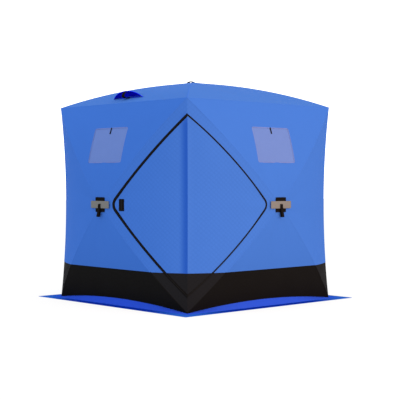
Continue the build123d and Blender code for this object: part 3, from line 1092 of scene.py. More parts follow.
@dataclass
class WallPanels:
    """The four walls' top and bottom panels and their black bands, with a window in each top."""

    form: ShelterForm
    windows: "Windows"
    pitch: float = 0.016
    folds: PanelFolds = PanelFolds(Folds(1.9, 0.22, 0.0016), Folds(1.6, 0.3, 0.0016))
    band_swell: float = 0.0016
    band_waves: float = 4.5

    def relief(self, x: Array, z: Array, u: Array, v: Array, toward: float) -> Array:
        """Height of a triangular panel's folds.

        It is the fans' heights times a share that falls to 0 at the rods, at the hub, at the outer
        edge and, on a bottom panel, at the band.

        Args:
            x: x of each point.
            z: z of each point.
            u: Share from hub to edge.
            v: Share from side to side.
            toward: 1 where the panel widens upwards, -1 where it widens downwards.

        Returns:
            The height at each point.
        """
        half, middle = self.form.half, self.form.middle
        held = held_at_rods(u, v) * smooth(9 * (1 - u))
        if toward < 0:
            held = held * smooth((z - self.form.band_top) / 0.06)
        hub, slope = ((0, middle), toward * math.pi / 2), -toward * FAN_SLOPE
        edge = middle + toward * half
        corners = (((right * half, edge), math.atan2(slope, -right)) for right in (-1, 1))
        return held * self.folds.at(x, z, hub, corners)

    def cloth(
        self, patch: Patch, rows: Array, columns: Array, keep: Array | None, toward: float
    ) -> Surface:
        """A panel's sheet on a grid of x and z, trimmed at its rods.

        Args:
            patch: The panel's patch.
            rows: Heights of the rows.
            columns: x of the columns, each held between the rods.
            keep: Which cells to keep, or None for all.
            toward: 1 where the panel widens upwards, -1 where it widens downwards.

        Returns:
            The sheet.
        """
        reach = patch.side_x(rows)[:, None]
        x = np.clip(columns[None, :], -reach, reach)
        z = np.broadcast_to(rows[:, None], x.shape)
        u, v = patch.locate(x, z, FRONT_AXES)
        points = patch.point(u, v)
        points[..., 1] -= self.relief(x, z, u, v, toward)
        return joined([grid_surface(points, np.stack([x, z], -1), keep)], weld=True)

    def window_panel(self) -> Surface:
        """The top panel, open at its window."""
        patch, half_width = self.form.window_patch(), self.windows.width / 2
        sill, head = self.windows.sill, self.windows.head
        low = float(patch.point(0.0, 0.5)[2])
        rows = steps(low, self.form.corner_height, self.pitch, (sill, head))
        columns = steps(-self.form.half, self.form.half, self.pitch, (-half_width, half_width))
        z, x = (rows[1:] + rows[:-1]) / 2, (columns[1:] + columns[:-1]) / 2
        open_rows = (z > sill) & (z < head)
        keep = ~(open_rows[:, None] & (np.abs(x) < half_width)[None, :])
        return self.cloth(patch, rows, columns, keep, 1.0)

    def lower_panel(self) -> Surface:
        """The bottom panel above the band."""
        patch = self.form.lower_patch()
        high = float(patch.point(0.0, 0.5)[2])
        rows = steps(self.form.band_top, high, self.pitch)
        columns = steps(-self.form.half, self.form.half, self.pitch)
        return self.cloth(patch, rows, columns, None, -1.0)

    def base_band(self) -> Surface:
        """The band: at each share v it runs along u from the height of its top to the hem."""
        patch = self.form.lower_patch()
        v, u = np.linspace(0, 1, 97), np.linspace(0, 1, FINE_STEPS)
        heights = patch.point(u[:, None], v[None, :])[..., 2]
        start = np.array([np.interp(-self.form.band_top, -column, u) for column in heights.T])
        share, across = np.broadcast_arrays(np.linspace(1, 0, 25)[:, None], v[None, :])
        points = patch.point(start + (1 - start) * share, across)
        waves = np.sin(share * math.pi) * np.sin(across * math.tau * self.band_waves)
        points[..., 1] -= self.band_swell * waves * plateau(across, 6)
        return grid_surface(points, points[..., [0, 2]].copy())

    def build(self) -> None:
        """Makes every wall's panels."""
        pieces = (
            ("window_panel", self.window_panel(), Finish.WALL, "wall_fabric"),
            ("lower_panel", self.lower_panel(), Finish.WALL, "wall_fabric"),
            ("base_band", self.base_band(), Finish.BAND, "band_fabric"),
        )
        for side in Side:
            for part, sheet, finish, slot in pieces:
                node, cloth = f"{side.word}_{part}", sheet.turned(side.value)
                Cloth(f"{node}_cloth", cloth, finish, slot, (node,)).make()


@dataclass
class Windows:
    """The film in each wall's window, lightened by painted reflection, its welded border, and the
    toggle at its head.
    """

    form: ShelterForm
    width: float = 0.46
    sill: float = 1.27
    head: float = 1.575
    lap: float = 0.008
    recess: float = 0.0017
    film: float = 0.0012
    buckle: float = 0.0016
    border: float = 0.007
    border_rise: float = 0.0009
    border_depth: float = 0.0022
    border_corner: float = 0.004
    toggle: SewnPatch = SewnPatch(0.014, 0.058, 0.0045, 0.0035, 0.0032, 0.0004, 0.002)
    toggle_lap: float = 0.004

    def __post_init__(self) -> None:
        """Keeps the panel's patch."""
        self.patch = self.form.window_patch()

    def on_panel(self, x: Array, z: Array, out: Array) -> Array:
        """Points a distance out from the panel, against its own normal, which points inwards."""
        u, v = self.patch.locate(x, z, FRONT_AXES)
        return self.patch.point(u, v) - self.patch.normal(u, v) * np.asarray(out)[..., None]

    def sheet(self) -> Surface:
        """The film, buckled a little: two slow sine waves that die out at its border."""
        x = np.linspace(-1, 1, 41)[None, :] * (self.width / 2 + self.lap)
        z = np.linspace(self.sill - self.lap, self.head + self.lap, 29)[:, None]
        x, z = np.broadcast_arrays(x, z)
        a, b = x / self.width + 0.5, (z - self.sill) / (self.head - self.sill)
        held = plateau(a, 6) * plateau(b, 6)
        wave = np.sin(math.tau * (1.7 * a + 0.6 * b))
        wave = wave + 0.6 * np.sin(math.tau * (0.9 * a - 1.6 * b) + 1)
        points = self.on_panel(x, z, self.buckle * (wave - 0.6) * held * 0.5 - self.recess)
        return grid_surface(points, np.stack([x, z], -1))

    def frame(self) -> Surface:
        """The border: a shallow arch in section, carried round the opening's rounded outline."""
        half, rise = self.width / 2, (self.head - self.sill) / 2
        middle = (self.head + self.sill) / 2
        run = np.arange(-1, 1.001, 0.04)[1:-1]
        ones = np.ones_like(run)
        foot = np.stack([run * (half - self.border_corner), -ones * rise], -1)
        side = np.stack([ones * half, run * (rise - self.border_corner)], -1)
        path = rounded(np.concatenate([foot, side, -foot, -side]), True, 2)
        away = np.roll(path, -1, axis=0) - np.roll(path, 1, axis=0)
        away = unit(np.stack([away[:, 1], -away[:, 0]], -1))
        share = np.linspace(-1, 1, 7)
        place = path[:, None] + away[:, None] * share[None, :, None] * self.border / 2
        out = np.broadcast_to(self.border_rise * (1 - share**2)[None, :] + 0.0003, place.shape[:2])
        points = self.on_panel(place[..., 0], place[..., 1] + middle, out)
        points, place = (np.concatenate([p, p[:1]]) for p in (points, place))
        ring = joined([grid_surface(points, place)], weld=True)
        return ring.facing(FRONT).thick(self.border_depth)

    def toggle_surface(self) -> Surface:
        """The toggle, sewn on at the head of the window."""
        middle = self.head + self.toggle_lap - self.toggle.height / 2
        return self.toggle.surface(lambda x, z, out: self.on_panel(x, z + middle, out))

    def build(self) -> None:
        """Makes each wall's film, and all borders and toggles."""
        sheet = self.sheet()
        for side in Side:
            name, film = f"{side.word}_window_film", sheet.turned(side.value)
            Cloth(name, film, Finish.FILM, "window_film", ("windows",), self.film).make()
        borders, straps = round_about(self.frame()), round_about(self.toggle_surface())
        Trim("window_borders", borders, Finish.FILM_EDGE, "window_film").make()
        toggles = ("window_toggles",)
        Trim("window_toggle_straps", straps, Finish.WEBBING, "black_webbing", toggles).make()


@dataclass(frozen=True)
class DoorOutline:
    """The door's diamond seen square to its corner, with bowed edges and rounded sides."""

    top: float
    bottom: float
    half_width: float
    bow: float
    side_round: float = 0.09

    def inset(self, distance: float) -> "DoorOutline":
        """The outline drawn in by a distance all round."""
        slant = distance * math.sqrt(2)
        return replace(
            self,
            top=self.top - slant,
            bottom=self.bottom + slant,
            half_width=self.half_width - slant,
            side_round=self.side_round - distance,
        )

    def reach(self, heights: Array) -> Array:
        """Half the outline's width at given heights.

        Each edge is an arc from the tip to the side whose middle stands off its chord by the bow,
        and a smaller circle, inside both of a side's arcs, rounds the corner between them.

        Args:
            heights: Heights above the ice.

        Returns:
            The half width, 0 above the top and below the bottom.
        """
        middle, rise = (self.top + self.bottom) / 2, (self.top - self.bottom) / 2
        chord = math.hypot(rise, self.half_width)
        radius = chord**2 / (8 * self.bow) + self.bow / 2
        back = (radius - self.bow) / chord
        centre_x, centre_h = self.half_width / 2 - back * rise, rise / 2 - back * self.half_width
        round_x = centre_x + math.sqrt((radius - self.side_round) ** 2 - centre_h**2)
        meet = -centre_h * self.side_round / (radius - self.side_round)
        h = np.abs(np.asarray(heights, float) - middle)
        arc = centre_x + np.sqrt(np.maximum(radius**2 - (h - centre_h) ** 2, 0))
        cap = round_x + np.sqrt(np.maximum(self.side_round**2 - h**2, 0))
        return np.where(h >= rise, 0.0, np.maximum(np.where(h < meet, cap, arc), 0.0))


@dataclass(frozen=True)
class DoorHalf:
    """One half of the door: the doorway's outline there, and the width of the zip inside it."""

    outline: DoorOutline
    zip_width: float

    @property
    def door(self) -> DoorOutline:
        """The outline of the door's own cloth."""
        return self.outline.inset(self.zip_width)


@dataclass
class CornerPanels:
    """The diamonds that wrap the corners, one with a zipped door, and their black lower tips."""

    form: ShelterForm
    halves: tuple[DoorHalf, DoorHalf] = (
        DoorHalf(DoorOutline(1.670, 0.134, 0.692, bow=0.021).inset(-0.0027), zip_width=0.0215),
        DoorHalf(DoorOutline(1.670, 0.137, 0.692, bow=0.037).inset(0.0022), zip_width=0.0115),
    )
    zip_stand: float = 0.0016
    zip_lines: float = 0.007
    zip_gap: float = 1e-4
    teeth: tuple[float, float] = (0.0032, 0.0016)
    teeth_lift: float = 0.0004
    quilt_height: float = 0.0004
    plain_pitch: float = 0.018
    folds: PanelFolds = PanelFolds(Folds(1.7, 0.24, 0.0014), Folds(1.5, 0.3, 0.0014))
    pinch_depth: float = 0.0055
    pinch_width: float = 0.036
    pinch_foot: tuple[float, float] = (0.12, 0.35)
    pinch_head: tuple[float, float] = (0.06, 0.3)
    tab: SewnPatch = SewnPatch(0.060, 0.104, 0.005, 0.0025)
    stripe: SewnPatch = SewnPatch(0.010, 0.086, 0.002, 0.0012, 0.0022, 0.0003, 0.0015)
    tab_x: float = 0.2650
    tab_z: float = 0.900

    def __post_init__(self) -> None:
        """Keeps the front half's patch."""
        self.patch = self.form.corner_patch()

    def rod_x(self, rows: Array) -> Array:
        """x of the front half's outer edge at given heights: the rod above or below the hub."""
        u = np.linspace(0, 1, FINE_STEPS)
        top, low = self.patch.point(u, np.ones_like(u)), self.patch.point(u, np.zeros_like(u))
        line = np.concatenate([low[::-1], top])
        return np.interp(rows, line[:, 2], line[:, 0])

    def crease_x(self, rows: Array) -> Array:
        """x of the crease at given heights."""
        v = np.linspace(0, 1, FINE_STEPS)
        line = self.patch.point(np.ones_like(v), v)
        return np.interp(rows, line[:, 2], line[:, 0])

    def skin(self, x: Array, z: Array, out: Array | float = 0.0) -> Array:
        """Points on the front half's cloth, drawn in beside the crease, at a distance out of it.

        With d the distance from the crease, the cloth is drawn in by the pinch's depth times
        (d / width) e^(1 - d / width). The pinch's foot and head say how far from the ice and from
        the top it starts, and over what height it grows.

        Args:
            x: x of each point.
            z: Height of each point.
            out: Distance outwards along the patch's normal.

        Returns:
            The points.
        """
        u, v = self.patch.locate(x, z, FRONT_AXES)
        d = np.maximum(self.crease_x(z) - x, 0) / self.pinch_width
        (low, grow), (high, fade) = self.pinch_foot, self.pinch_head
        ends = smooth((z - low) / grow) * smooth((self.form.corner_height - high - z) / fade)
        drawn = self.pinch_depth * d * np.exp(1 - d) * ends
        away = self.patch.normal(u, v)
        return self.patch.point(u, v) + away * (np.asarray(out) - drawn)[..., None]

    def outline_x(self, outline: DoorOutline, rows: Array) -> Array:
        """x of an outline's front half at given heights, and of the crease past its tips."""
        reach, crease = outline.reach(rows), self.crease_x(rows)
        x = self.patch.place(-reach, rows, CORNER_AXES)[..., 0]
        return np.where(reach > 0, np.clip(x, self.rod_x(rows), crease), crease)

    def relief(self, x: Array, z: Array, flat: Array | None) -> Array:
        """Height of the cloth's folds, and of the quilting's pillows where a flat place is given.

        A pillow is the root of the product of |sin| of the flat place's two diagonals.

        Args:
            x: x of each point.
            z: Height of each point.
            flat: Flat place of each point, or None on plain cloth.

        Returns:
            The height at each point, nought at the crease.
        """
        middle, half = self.form.middle, self.form.half
        u, v = self.patch.locate(x, z, FRONT_AXES)
        corners = (((half, middle + up * half), math.atan2(-up, -FAN_SLOPE)) for up in (-1, 1))
        total = self.folds.at(x, z, ((0, middle), 0.0), corners) * held_at_rods(u, v)
        if flat is not None:
            rise, fall = (
                np.sin((flat[..., 0] + sign * z) * math.pi / QUILT_STEP) for sign in (1, -1)
            )
            total = total + self.quilt_height * (np.sqrt(np.abs(rise * fall)) - 0.5)
        return total * smooth(12 * (1 - u))

    def half_cloth(
        self, rows: Array, low: Array, high: Array, pitch: float, quilted: bool
    ) -> Surface:
        """The front half of a corner piece, on a grid of x and z between two edges.

        Args:
            rows: Heights of the rows.
            low: x of the left edge at each height.
            high: x of the right edge at each height.
            pitch: Distance between columns.
            quilted: Whether the cloth is quilted.

        Returns:
            The sheet.
        """
        columns = steps(0.0, self.form.half, pitch)
        x = np.clip(columns[None, :], low[:, None], np.maximum(high, low)[:, None])
        z = np.broadcast_to(rows[:, None], x.shape)
        flat = np.stack([x - self.crease_x(rows)[:, None], z], -1)
        points = self.skin(x, z, self.relief(x, z, flat if quilted else None))
        return joined([grid_surface(points, flat)], weld=True)

    def plain(self, bottom: float, top: float) -> Surface:
        """A plain corner's piece between two heights: a front half with its mirror image."""
        rows = steps(bottom, top, self.plain_pitch)
        low, high = self.rod_x(rows), self.crease_x(rows)
        half = self.half_cloth(rows, low, high, self.plain_pitch, False)
        return joined([half, half.mirrored()], weld=True)

    def quilted(self, bottom: float, top: float, door: bool) -> Surface:
        """A piece of the door's corner between two heights.

        Args:
            bottom: Its lowest row.
            top: Its highest row.
            door: Whether it is the door's own cloth, or else the cloth round the doorway.

        Returns:
            The piece, both halves.
        """
        pitch = QUILT_STEP / 6
        rows = steps(bottom, top, pitch)
        sheets = []
        for half in self.halves:
            low, high = self.rod_x(rows), self.crease_x(rows)
            if door:
                low = self.outline_x(half.door, rows)
            else:
                high = self.outline_x(half.outline, rows)
            sheets.append(self.half_cloth(rows, low, high, pitch, True))
        return joined([sheets[0], sheets[1].mirrored()], weld=True)

    def zip_tape(self) -> Surface:
        """The zip's tape: each row runs from the doorway's edge to the door's, or to the crease."""
        sheets = []
        for half in self.halves:
            outer, inner = half.outline, half.door
            rows = steps(outer.bottom, outer.top, self.zip_lines, (inner.bottom, inner.top))
            low, high = self.outline_x(outer, rows), self.outline_x(inner, rows)
            share = np.linspace(0, 1, 5)[None, :]
            x = low[:, None] * (1 - share) + high[:, None] * share
            z = np.broadcast_to(rows[:, None], x.shape)
            flat = np.stack([x - self.crease_x(rows)[:, None], z], -1)
            tape = grid_surface(self.skin(x, z, self.zip_stand), flat)
            sheets.append(joined([tape], weld=True))
        return joined([sheets[0], sheets[1].mirrored()])

    def zip_line(self, half: DoorHalf) -> tuple[Array, Array]:
        """Points along the middle of a half's zip, bottom to top, and the way out there."""
        middle = half.outline.inset(half.zip_width / 2)
        rows = np.linspace(middle.bottom + self.zip_gap, middle.top - self.zip_gap, 401)
        u, v = self.patch.locate(-middle.reach(rows), rows, CORNER_AXES)
        return self.skin(self.patch.point(u, v)[:, 0], rows), self.patch.normal(u, v)

    def zip_teeth(self) -> Surface:
        """The closed teeth: a low round rib along the middle of the tape, both halves."""
        profile = oval(*self.teeth) + np.array([0.0, self.zip_stand + self.teeth_lift])
        ribs = []
        for half in self.halves:
            path, out = self.zip_line(half)
            ribs.append(tube(path, unit(np.cross(out, np.gradient(path, axis=0))), out, profile))
        return joined([ribs[0], ribs[1].mirrored()])

    def on_door(self, x: Array, z: Array, out: Array) -> Array:
        """Points at distances right, up and out from the door tab's middle."""
        return self.skin(self.tab_x + x, self.tab_z + z, out)

    def ring_cut(self, surface: Surface) -> tuple[float, float]:
        """The flat size of the strips round the doorway: their length end to end, and their width.

        Args:
            surface: The strips' sheet, whose height gives the length of its slanted arms.

        Returns:
            The width and length of one strip with the same area.
        """
        length = 2 * math.sqrt(2) * float(np.ptp(surface.points[:, 2]))
        return surface.area() / length, length

    def build(self) -> None:
        """Makes every corner's pieces, the door, its zip and its tab."""
        form = self.form
        panel = self.plain(form.band_top, form.corner_height)
        tip = self.plain(form.ground, form.band_top)
        plain = (
            ("corner", panel, Finish.WALL, "wall_fabric", "corner_panel"),
            ("corner_band", tip, Finish.CORNER_BAND, "band_fabric", "corner_band"),
        )
        for corner in (Corner.BACK_RIGHT, Corner.BACK_LEFT, Corner.FRONT_LEFT):
            name, q = corner.word, corner.value
            for part, sheet, finish, slot, node in plain:
                stands_for = (f"{name}_{node}",)
                Cloth(f"{name}_{part}_cloth", sheet.turned(q), finish, slot, stands_for).make()
        around = self.quilted(form.band_top, form.corner_height, False)
        below = self.quilted(form.ground, form.band_top, False)
        lowest = min(half.door.bottom for half in self.halves)
        highest = max(half.door.top for half in self.halves)
        upper = self.quilted(form.band_top, highest, True)
        kick = self.quilted(lowest, form.band_top, True)
        quilted, black = (Finish.QUILT, "quilted_fabric"), (Finish.KICK, "band_fabric")
        cloths = (
            ("front_right_corner_cloth", around, quilted, "front_right_corner_panel", True),
            ("front_right_corner_band_cloth", below, black, "front_right_corner_band", True),
            ("door_cloth", upper, quilted, "door_panel", False),
            ("door_kick_cloth", kick, black, "door_kick_panel", False),
        )
        for name, sheet, (finish, slot), node, ring in cloths:
            cut = self.ring_cut(sheet) if ring else None
            Cloth(name, sheet, finish, slot, (node,), cut=cut).make()
        tape, zips = self.zip_tape(), ("door_zip",)
        Cloth("door_zip_tape", tape, Finish.TAPE, "zip", zips, 0.004, sheet=False).make()
        Trim("door_zip_teeth", self.zip_teeth(), Finish.TEETH, "zip").make()
        flap, above = self.tab.surface(self.on_door), self.tab.thickness * 0.9
        Trim("door_tab_flap", flap, Finish.WEBBING, "black_webbing", ("door_tab",)).make()
        lifted = self.stripe.surface(lambda x, z, out: self.on_door(x, z, out + above))
        Trim("door_tab_stripe", lifted, Finish.STRIPE, "black_webbing").make()


@dataclass
class RoofPanels:
    """The roof's four panels, the front and back ones open under their vents."""

    form: ShelterForm
    vents: "Vents"
    pitch: float = 0.018
    folds: PanelFolds = PanelFolds(Folds(1.9, 0.25, 0.0016), Folds(1.6, 0.3, 0.0016))

    def relief(self, x: Array, y: Array, u: Array, v: Array) -> Array:
        """Height of the panel's folds, which fan out from the hub and the two corners.

        Args:
            x: x of each point.
            y: y of each point.
            u: Share from hub to edge.
            v: Share from side to side.

        Returns:
            The height at each point.
        """
        half = self.form.half
        corners = (((right * half, -half), math.atan2(FAN_SLOPE, -right)) for right in (-1, 1))
        total = self.folds.at(x, y, ((0, 0), -math.pi / 2), corners)
        return held_at_rods(u, v) * smooth(8 * (1 - u)) * total

    def part(self, rows: Array, low: Array, high: Array) -> Surface:
        """The cloth between two edges, on a grid of x and y.

        Args:
            rows: y of the rows.
            low: x of the left edge at each row.
            high: x of the right edge at each row.

        Returns:
            The sheet.
        """
        patch = self.form.roof_patch()
        columns = steps(-self.form.half, self.form.half, self.pitch, (self.vents.offset,))
        x = np.clip(columns[None, :], low[:, None], high[:, None])
        y = np.broadcast_to(rows[:, None], x.shape)
        u, v = patch.locate(x, y, ROOF_AXES)
        points = patch.point(u, v)
        points[..., 2] += self.relief(x, y, u, v)
        return joined([grid_surface(points, np.stack([x, y], -1))], weld=True)

    def panel(self, vented: bool) -> Surface:
        """The front panel, whole or open at its vent's mouth."""
        patch, half = self.form.roof_patch(), self.form.half
        high = float(patch.point(0.0, 0.5)[1])
        mouth = self.vents.mouth_rows() if vented else np.zeros(0)
        rows = steps(-half, high, self.pitch, tuple(mouth))
        reach = patch.side_x(rows, axis=1)
        if not vented:
            return self.part(rows, -reach, reach)
        middle, hole = self.vents.offset, self.vents.mouth_reach(rows)
        left = self.part(rows, -reach, np.clip(middle - hole, -reach, reach))
        right = self.part(rows, np.clip(middle + hole, -reach, reach), reach)
        return joined([left, right], weld=True)

    def build(self) -> None:
        """Makes the four panels."""
        panels = {True: self.panel(True), False: self.panel(False)}
        for side in Side:
            vented = side in (Side.FRONT, Side.BACK)
            name, cloth = f"{side.word}_roof", panels[vented].turned(side.value)
            Cloth(f"{name}_cloth", cloth, Finish.ROOF, "roof_fabric", (f"{name}_panel",)).make()


@dataclass
class Vents:
    """The two vents: a visor over a mouth in the roof, dark inside with painted shade, held open by
    a bowed strip.
    """

    form: ShelterForm
    inset: float = 0.120
    width: float = 0.410
    height: float = 0.068
    depth: float = 0.066
    sink: float = 0.068
    offset: float = -0.025
    cloth: float = 0.0026
    liner: float = 0.0008
    mouth_width: float = 0.300
    mouth_depth: float = 0.038
    mouth_gap: float = 0.008
    prop_width: float = 0.042
    prop_thickness: float = 0.003
    lip_round: float = 0.0034
    lip_span: float = 0.995
    net: float = 0.0016
    net_sink: float = 0.0008

    @property
    def shrunk(self) -> float:
        """How much narrower the ellipsoid is at the slope than at its own middle."""
        return math.sqrt(1 - (self.sink / (self.height + self.sink)) ** 2)

    def swell(self, x: Array, y: Array) -> Array:
        """The ellipsoid's height over the slope at distances right and up the slope.

        Args:
            x: Distance right of the middle.
            y: Distance up the slope.

        Returns:
            The height.
        """
        across, up = x / (self.width / 2) * self.shrunk, y / self.depth * self.shrunk
        top = np.sqrt(np.maximum(1 - across**2 - up**2, 0))
        return (self.height + self.sink) * top - self.sink

    def plane(self) -> tuple[Array, Array, Array]:
        """The vent's own place on the slope: its middle, then up the slope and outwards."""
        line = (self.form.roof_rod(-1) + self.form.roof_rod(1)) / 2
        weights, slopes = Patch.weights(1 - self.inset / self.form.half)
        out = unit(np.cross(slopes @ line, RIGHT))
        return weights @ line + RIGHT * self.offset, np.cross(out, RIGHT), out

    def mouth_rows(self) -> Array:
        """y of the rows that the mouth's outline needs."""
        middle, rise, _ = self.plane()
        arch = self.mouth_gap + self.mouth_depth * np.sin(np.linspace(0, math.pi / 2, 8))
        reach = np.concatenate([[self.mouth_gap - 0.0004], arch])
        return middle[1] + reach * rise[1]

    def mouth_reach(self, rows: Array) -> Array:
        """Half the mouth's width at given y: half an ellipse that stands on its long axis."""
        middle, rise, _ = self.plane()
        share = ((rows - middle[1]) / rise[1] - self.mouth_gap) / self.mouth_depth
        reach = self.mouth_width / 2 * np.sqrt(np.maximum(1 - share**2, 0))
        return np.where(share > -WELD_STEP, reach, 0.0)

    def visor(self) -> Surface:
        """The visor: part of an ellipsoid that is sunk below the slope, standing on the roof.

        At a turn a from the middle and a share t from the mouth, it is at x = half the width times
        sin a and y = the depth times t cos a, as high there as the ellipsoid is above its sinking.

        Returns:
            The sheet, its mouth's edge in its first row.
        """
        middle, rise, out = self.plane()
        turn = np.linspace(-1, 1, 61)[None, :] * math.pi / 2
        share = np.sin(np.linspace(0, 1, 15) * math.pi / 2)[:, None]
        x, y = self.width / 2 * np.sin(turn), self.depth * share * np.cos(turn)
        x, y = np.broadcast_arrays(x, y)
        height = self.swell(x, y)
        base = middle + RIGHT * x[..., None] + rise * y[..., None]
        ground = self.form.roof_patch().place(base[..., 0], base[..., 1], ROOF_AXES)
        points = ground + out * np.maximum(height, 0)[..., None]
        return joined([grid_surface(points, np.stack([x, y + height], -1))], weld=True)

    def mouth_net(self) -> Surface:
        """The net in the mouth, dark with painted shade: the roof's own surface within the mouth's
        half ellipse.
        """
        middle, rise, _ = self.plane()
        share = np.linspace(0, 1, 13)[:, None]
        x = self.mouth_width / 2 * np.sqrt(1 - share**2) * np.linspace(-1.02, 1.02, 41)[None, :]
        y = (self.mouth_gap - 0.001 + (self.mouth_depth + 0.002) * share) * rise[1]
        points = self.form.roof_patch().place(middle[0] + x, middle[1] + y, ROOF_AXES)
        points[..., 2] -= self.net_sink
        return joined([grid_surface(points, np.stack(np.broadcast_arrays(x, y), -1))], weld=True)

    def lip(self) -> Surface:
        """The visor's bound edge: a round cord of cloth along its mouth."""
        middle, _, out = self.plane()
        x = self.width / 2 * np.sin(np.linspace(-1, 1, 81) * self.lip_span * math.pi / 2)
        ground = self.form.roof_patch().place(x + middle[0], np.full_like(x, middle[1]), ROOF_AXES)
        rise = self.swell(x, np.zeros_like(x)) - 0.001
        path = ground + out * np.maximum(rise, 0.0)[:, None]
        tangent = unit(np.gradient(path, axis=0))
        side = np.broadcast_to(unit(np.cross(out, RIGHT)), path.shape)
        section = oval(self.lip_round, self.lip_round)
        return tube(path, side, unit(np.cross(tangent, side)), section)

    def prop(self) -> Surface:
        """The strip that holds the mouth open, bowed out of it, with its two ends sewn down."""
        middle, rise, out = self.plane()
        foot, head = 0.004, self.height - self.cloth - self.prop_thickness / 2
        # Corners of its side view: distance up the slope, and out of it.
        foot_end = [(0.018, foot - 0.002), (0.004, foot), (-0.026, foot + 0.006)]
        head_end = [(-0.030, 0.060), (-0.004, head), (0.018, head - 0.002)]
        path = rounded(foot_end + [(-0.054, 0.032)] + head_end, False)
        ground = self.form.roof_patch().place(middle[:1], middle[1:2], ROOF_AXES)[0]
        points = ground + rise * path[:, :1] + out * path[:, 1:]
        return strap(points, RIGHT, self.prop_width, self.prop_thickness, False)

    def build(self) -> None:
        """Makes both vents' pieces."""
        visor = self.visor()
        # The liner: a copy of the visor just inside it, its dark navy being painted shade under the
        # visor.
        inside = visor.moved(visor.points - visor.normals() * (self.cloth + 0.0002))
        cloths = (
            ("visor", visor, Finish.ROOF, ("vent_hoods",), self.cloth),
            ("liner", inside, Finish.LINER, (), self.liner),
        )
        for side in (Side.FRONT, Side.BACK):
            for part, sheet, finish, nodes, depth in cloths:
                name, cloth = f"{side.word}_vent_{part}", sheet.turned(side.value)
                Cloth(name, cloth, finish, "roof_fabric", nodes, depth, "hung").make()
        net, lip, prop = self.mouth_net().thick(self.net), self.lip(), self.prop()
        # The mouth's net and the lip take the liner's dark navy, painted shade in the mouth.
        trims = (
            ("vent_mouth_nets", net, Finish.LINER, "roof_fabric", ()),
            ("vent_lips", lip, Finish.LINER, "roof_fabric", ()),
            ("vent_prop_strips", prop, Finish.WEBBING, "black_webbing", ("vent_props",)),
        )
        for name, surface, finish, slot, nodes in trims:
            Trim(name, round_about(surface, (0, 2)), finish, slot, nodes).make()


@dataclass
class HubFittings:
    """What is sewn on at each hub: a patch, a grey strip and a pull handle, and the roof's loop."""

    form: ShelterForm
    patch: SewnPatch = SewnPatch(0.130, 0.130, 0.006, 0.0025)
    strip: SewnPatch = SewnPatch(0.254, 0.064, 0.006, 0.003, 0.006)
    roof_patch: SewnPatch = SewnPatch(0.056, 0.056, 0.006, 0.0025)
    handle_width: float = 0.028
    handle_thickness: float = 0.002
    loop_offset: float = -0.052
    loop_width: float = 0.064
    loop_height: float = 0.017
    loop_band: float = 0.030
    loop_thickness: float = 0.0065

    def on_wall(self, x: Array, z: Array, out: Array) -> Array:
        """Points at distances right, up and out from the front hub."""
        x, z, out = np.broadcast_arrays(x, z, out)
        return np.stack([x, self.form.wall_hub[1] - out, self.form.middle + z], -1)

    def on_roof(self, x: Array, y: Array, out: Array) -> Array:
        """Points at distances right, back and up from the roof's hub."""
        x, y, out = np.broadcast_arrays(x, y, out)
        return np.stack([x, y, self.form.roof_hub[2] + out], -1)

    def handle(self) -> Surface:
        """The handle: webbing in a long narrow loop that widens downwards."""
        base = self.patch.thickness + self.strip.thickness
        # Corners of its side view: distance out of the strip, and up from the hub.
        head = [(0.0014, 0.004), (0.0036, 0.0065), (0.0062, 0.002)]
        outer = [(0.0085, -0.020), (0.0140, -0.055), (0.0205, -0.086), (0.0245, -0.101)]
        foot = [(0.0235, -0.1068), (0.0125, -0.1075), (0.0030, -0.1055)]
        inner = [(0.0016, -0.085), (0.0014, -0.050), (0.0014, -0.020)]
        path = rounded(head + outer + foot + inner, True)
        points = self.on_wall(np.zeros(len(path)), path[:, 1], path[:, 0] + base)
        return strap(points, RIGHT, self.handle_width, self.handle_thickness, True)

    def loop(self) -> Surface:
        """The roof's loop: webbing from its foot on the patch, over, and down to the left panel."""
        near, far = self.loop_offset + self.loop_width / 2, self.loop_offset - self.loop_width / 2
        ends = np.array([far, far - 0.018])
        slope = self.form.roof_patch().place(np.zeros(2), ends, ROOF_AXES)[:, 2]
        drop = slope - self.form.roof_hub[2] + self.loop_thickness / 2
        seat = self.patch.thickness + self.loop_thickness / 2
        top = self.patch.thickness + self.loop_height - self.loop_thickness / 2
        # Corners of its side view: distance right of the hub, and up from it.
        rise = [(near + 0.020, seat), (near + 0.004, seat), (near - 0.001, seat + 0.002)]
        over = [(near - 0.003, top - 0.002), (near - 0.010, top), (far + 0.012, top)]
        fall = [(far + 0.003, top - 0.003), (far + 0.001, drop[0] + 0.003), (far - 0.003, drop[0])]
        path = rounded(rise + over + fall + [(far - 0.018, drop[1])], False)
        points = self.on_roof(path[:, 0], np.zeros(len(path)), path[:, 1])
        return strap(points, -FRONT, self.loop_band, self.loop_thickness, False)

    def build(self) -> None:
        """Makes the fittings of all five hubs."""
        above = self.patch.thickness
        strip = self.strip.surface(lambda x, z, out: self.on_wall(x, z, out + above))
        patch, handle = self.patch.surface(self.on_wall), self.handle()
        black, grey = (Finish.WEBBING, "black_webbing"), (Finish.STRIP, "grey_strip")
        blue, middle = (Finish.ROOF, "roof_fabric"), self.roof_patch.surface(self.on_roof)
        pieces = (
            ("hub_patch_cloth", round_about(patch), black, "hub_patches"),
            ("hub_strip_webbing", round_about(strip), grey, "hub_strips"),
            ("pull_handle_straps", round_about(handle), black, "pull_handles"),
            ("roof_loop_strap", self.loop(), black, "roof_pull_loop"),
            ("roof_hub_patch", middle, blue, "hub_patches"),
        )
        for name, surface, (finish, slot), node in pieces:
            Trim(name, surface, finish, slot, (node,)).make()


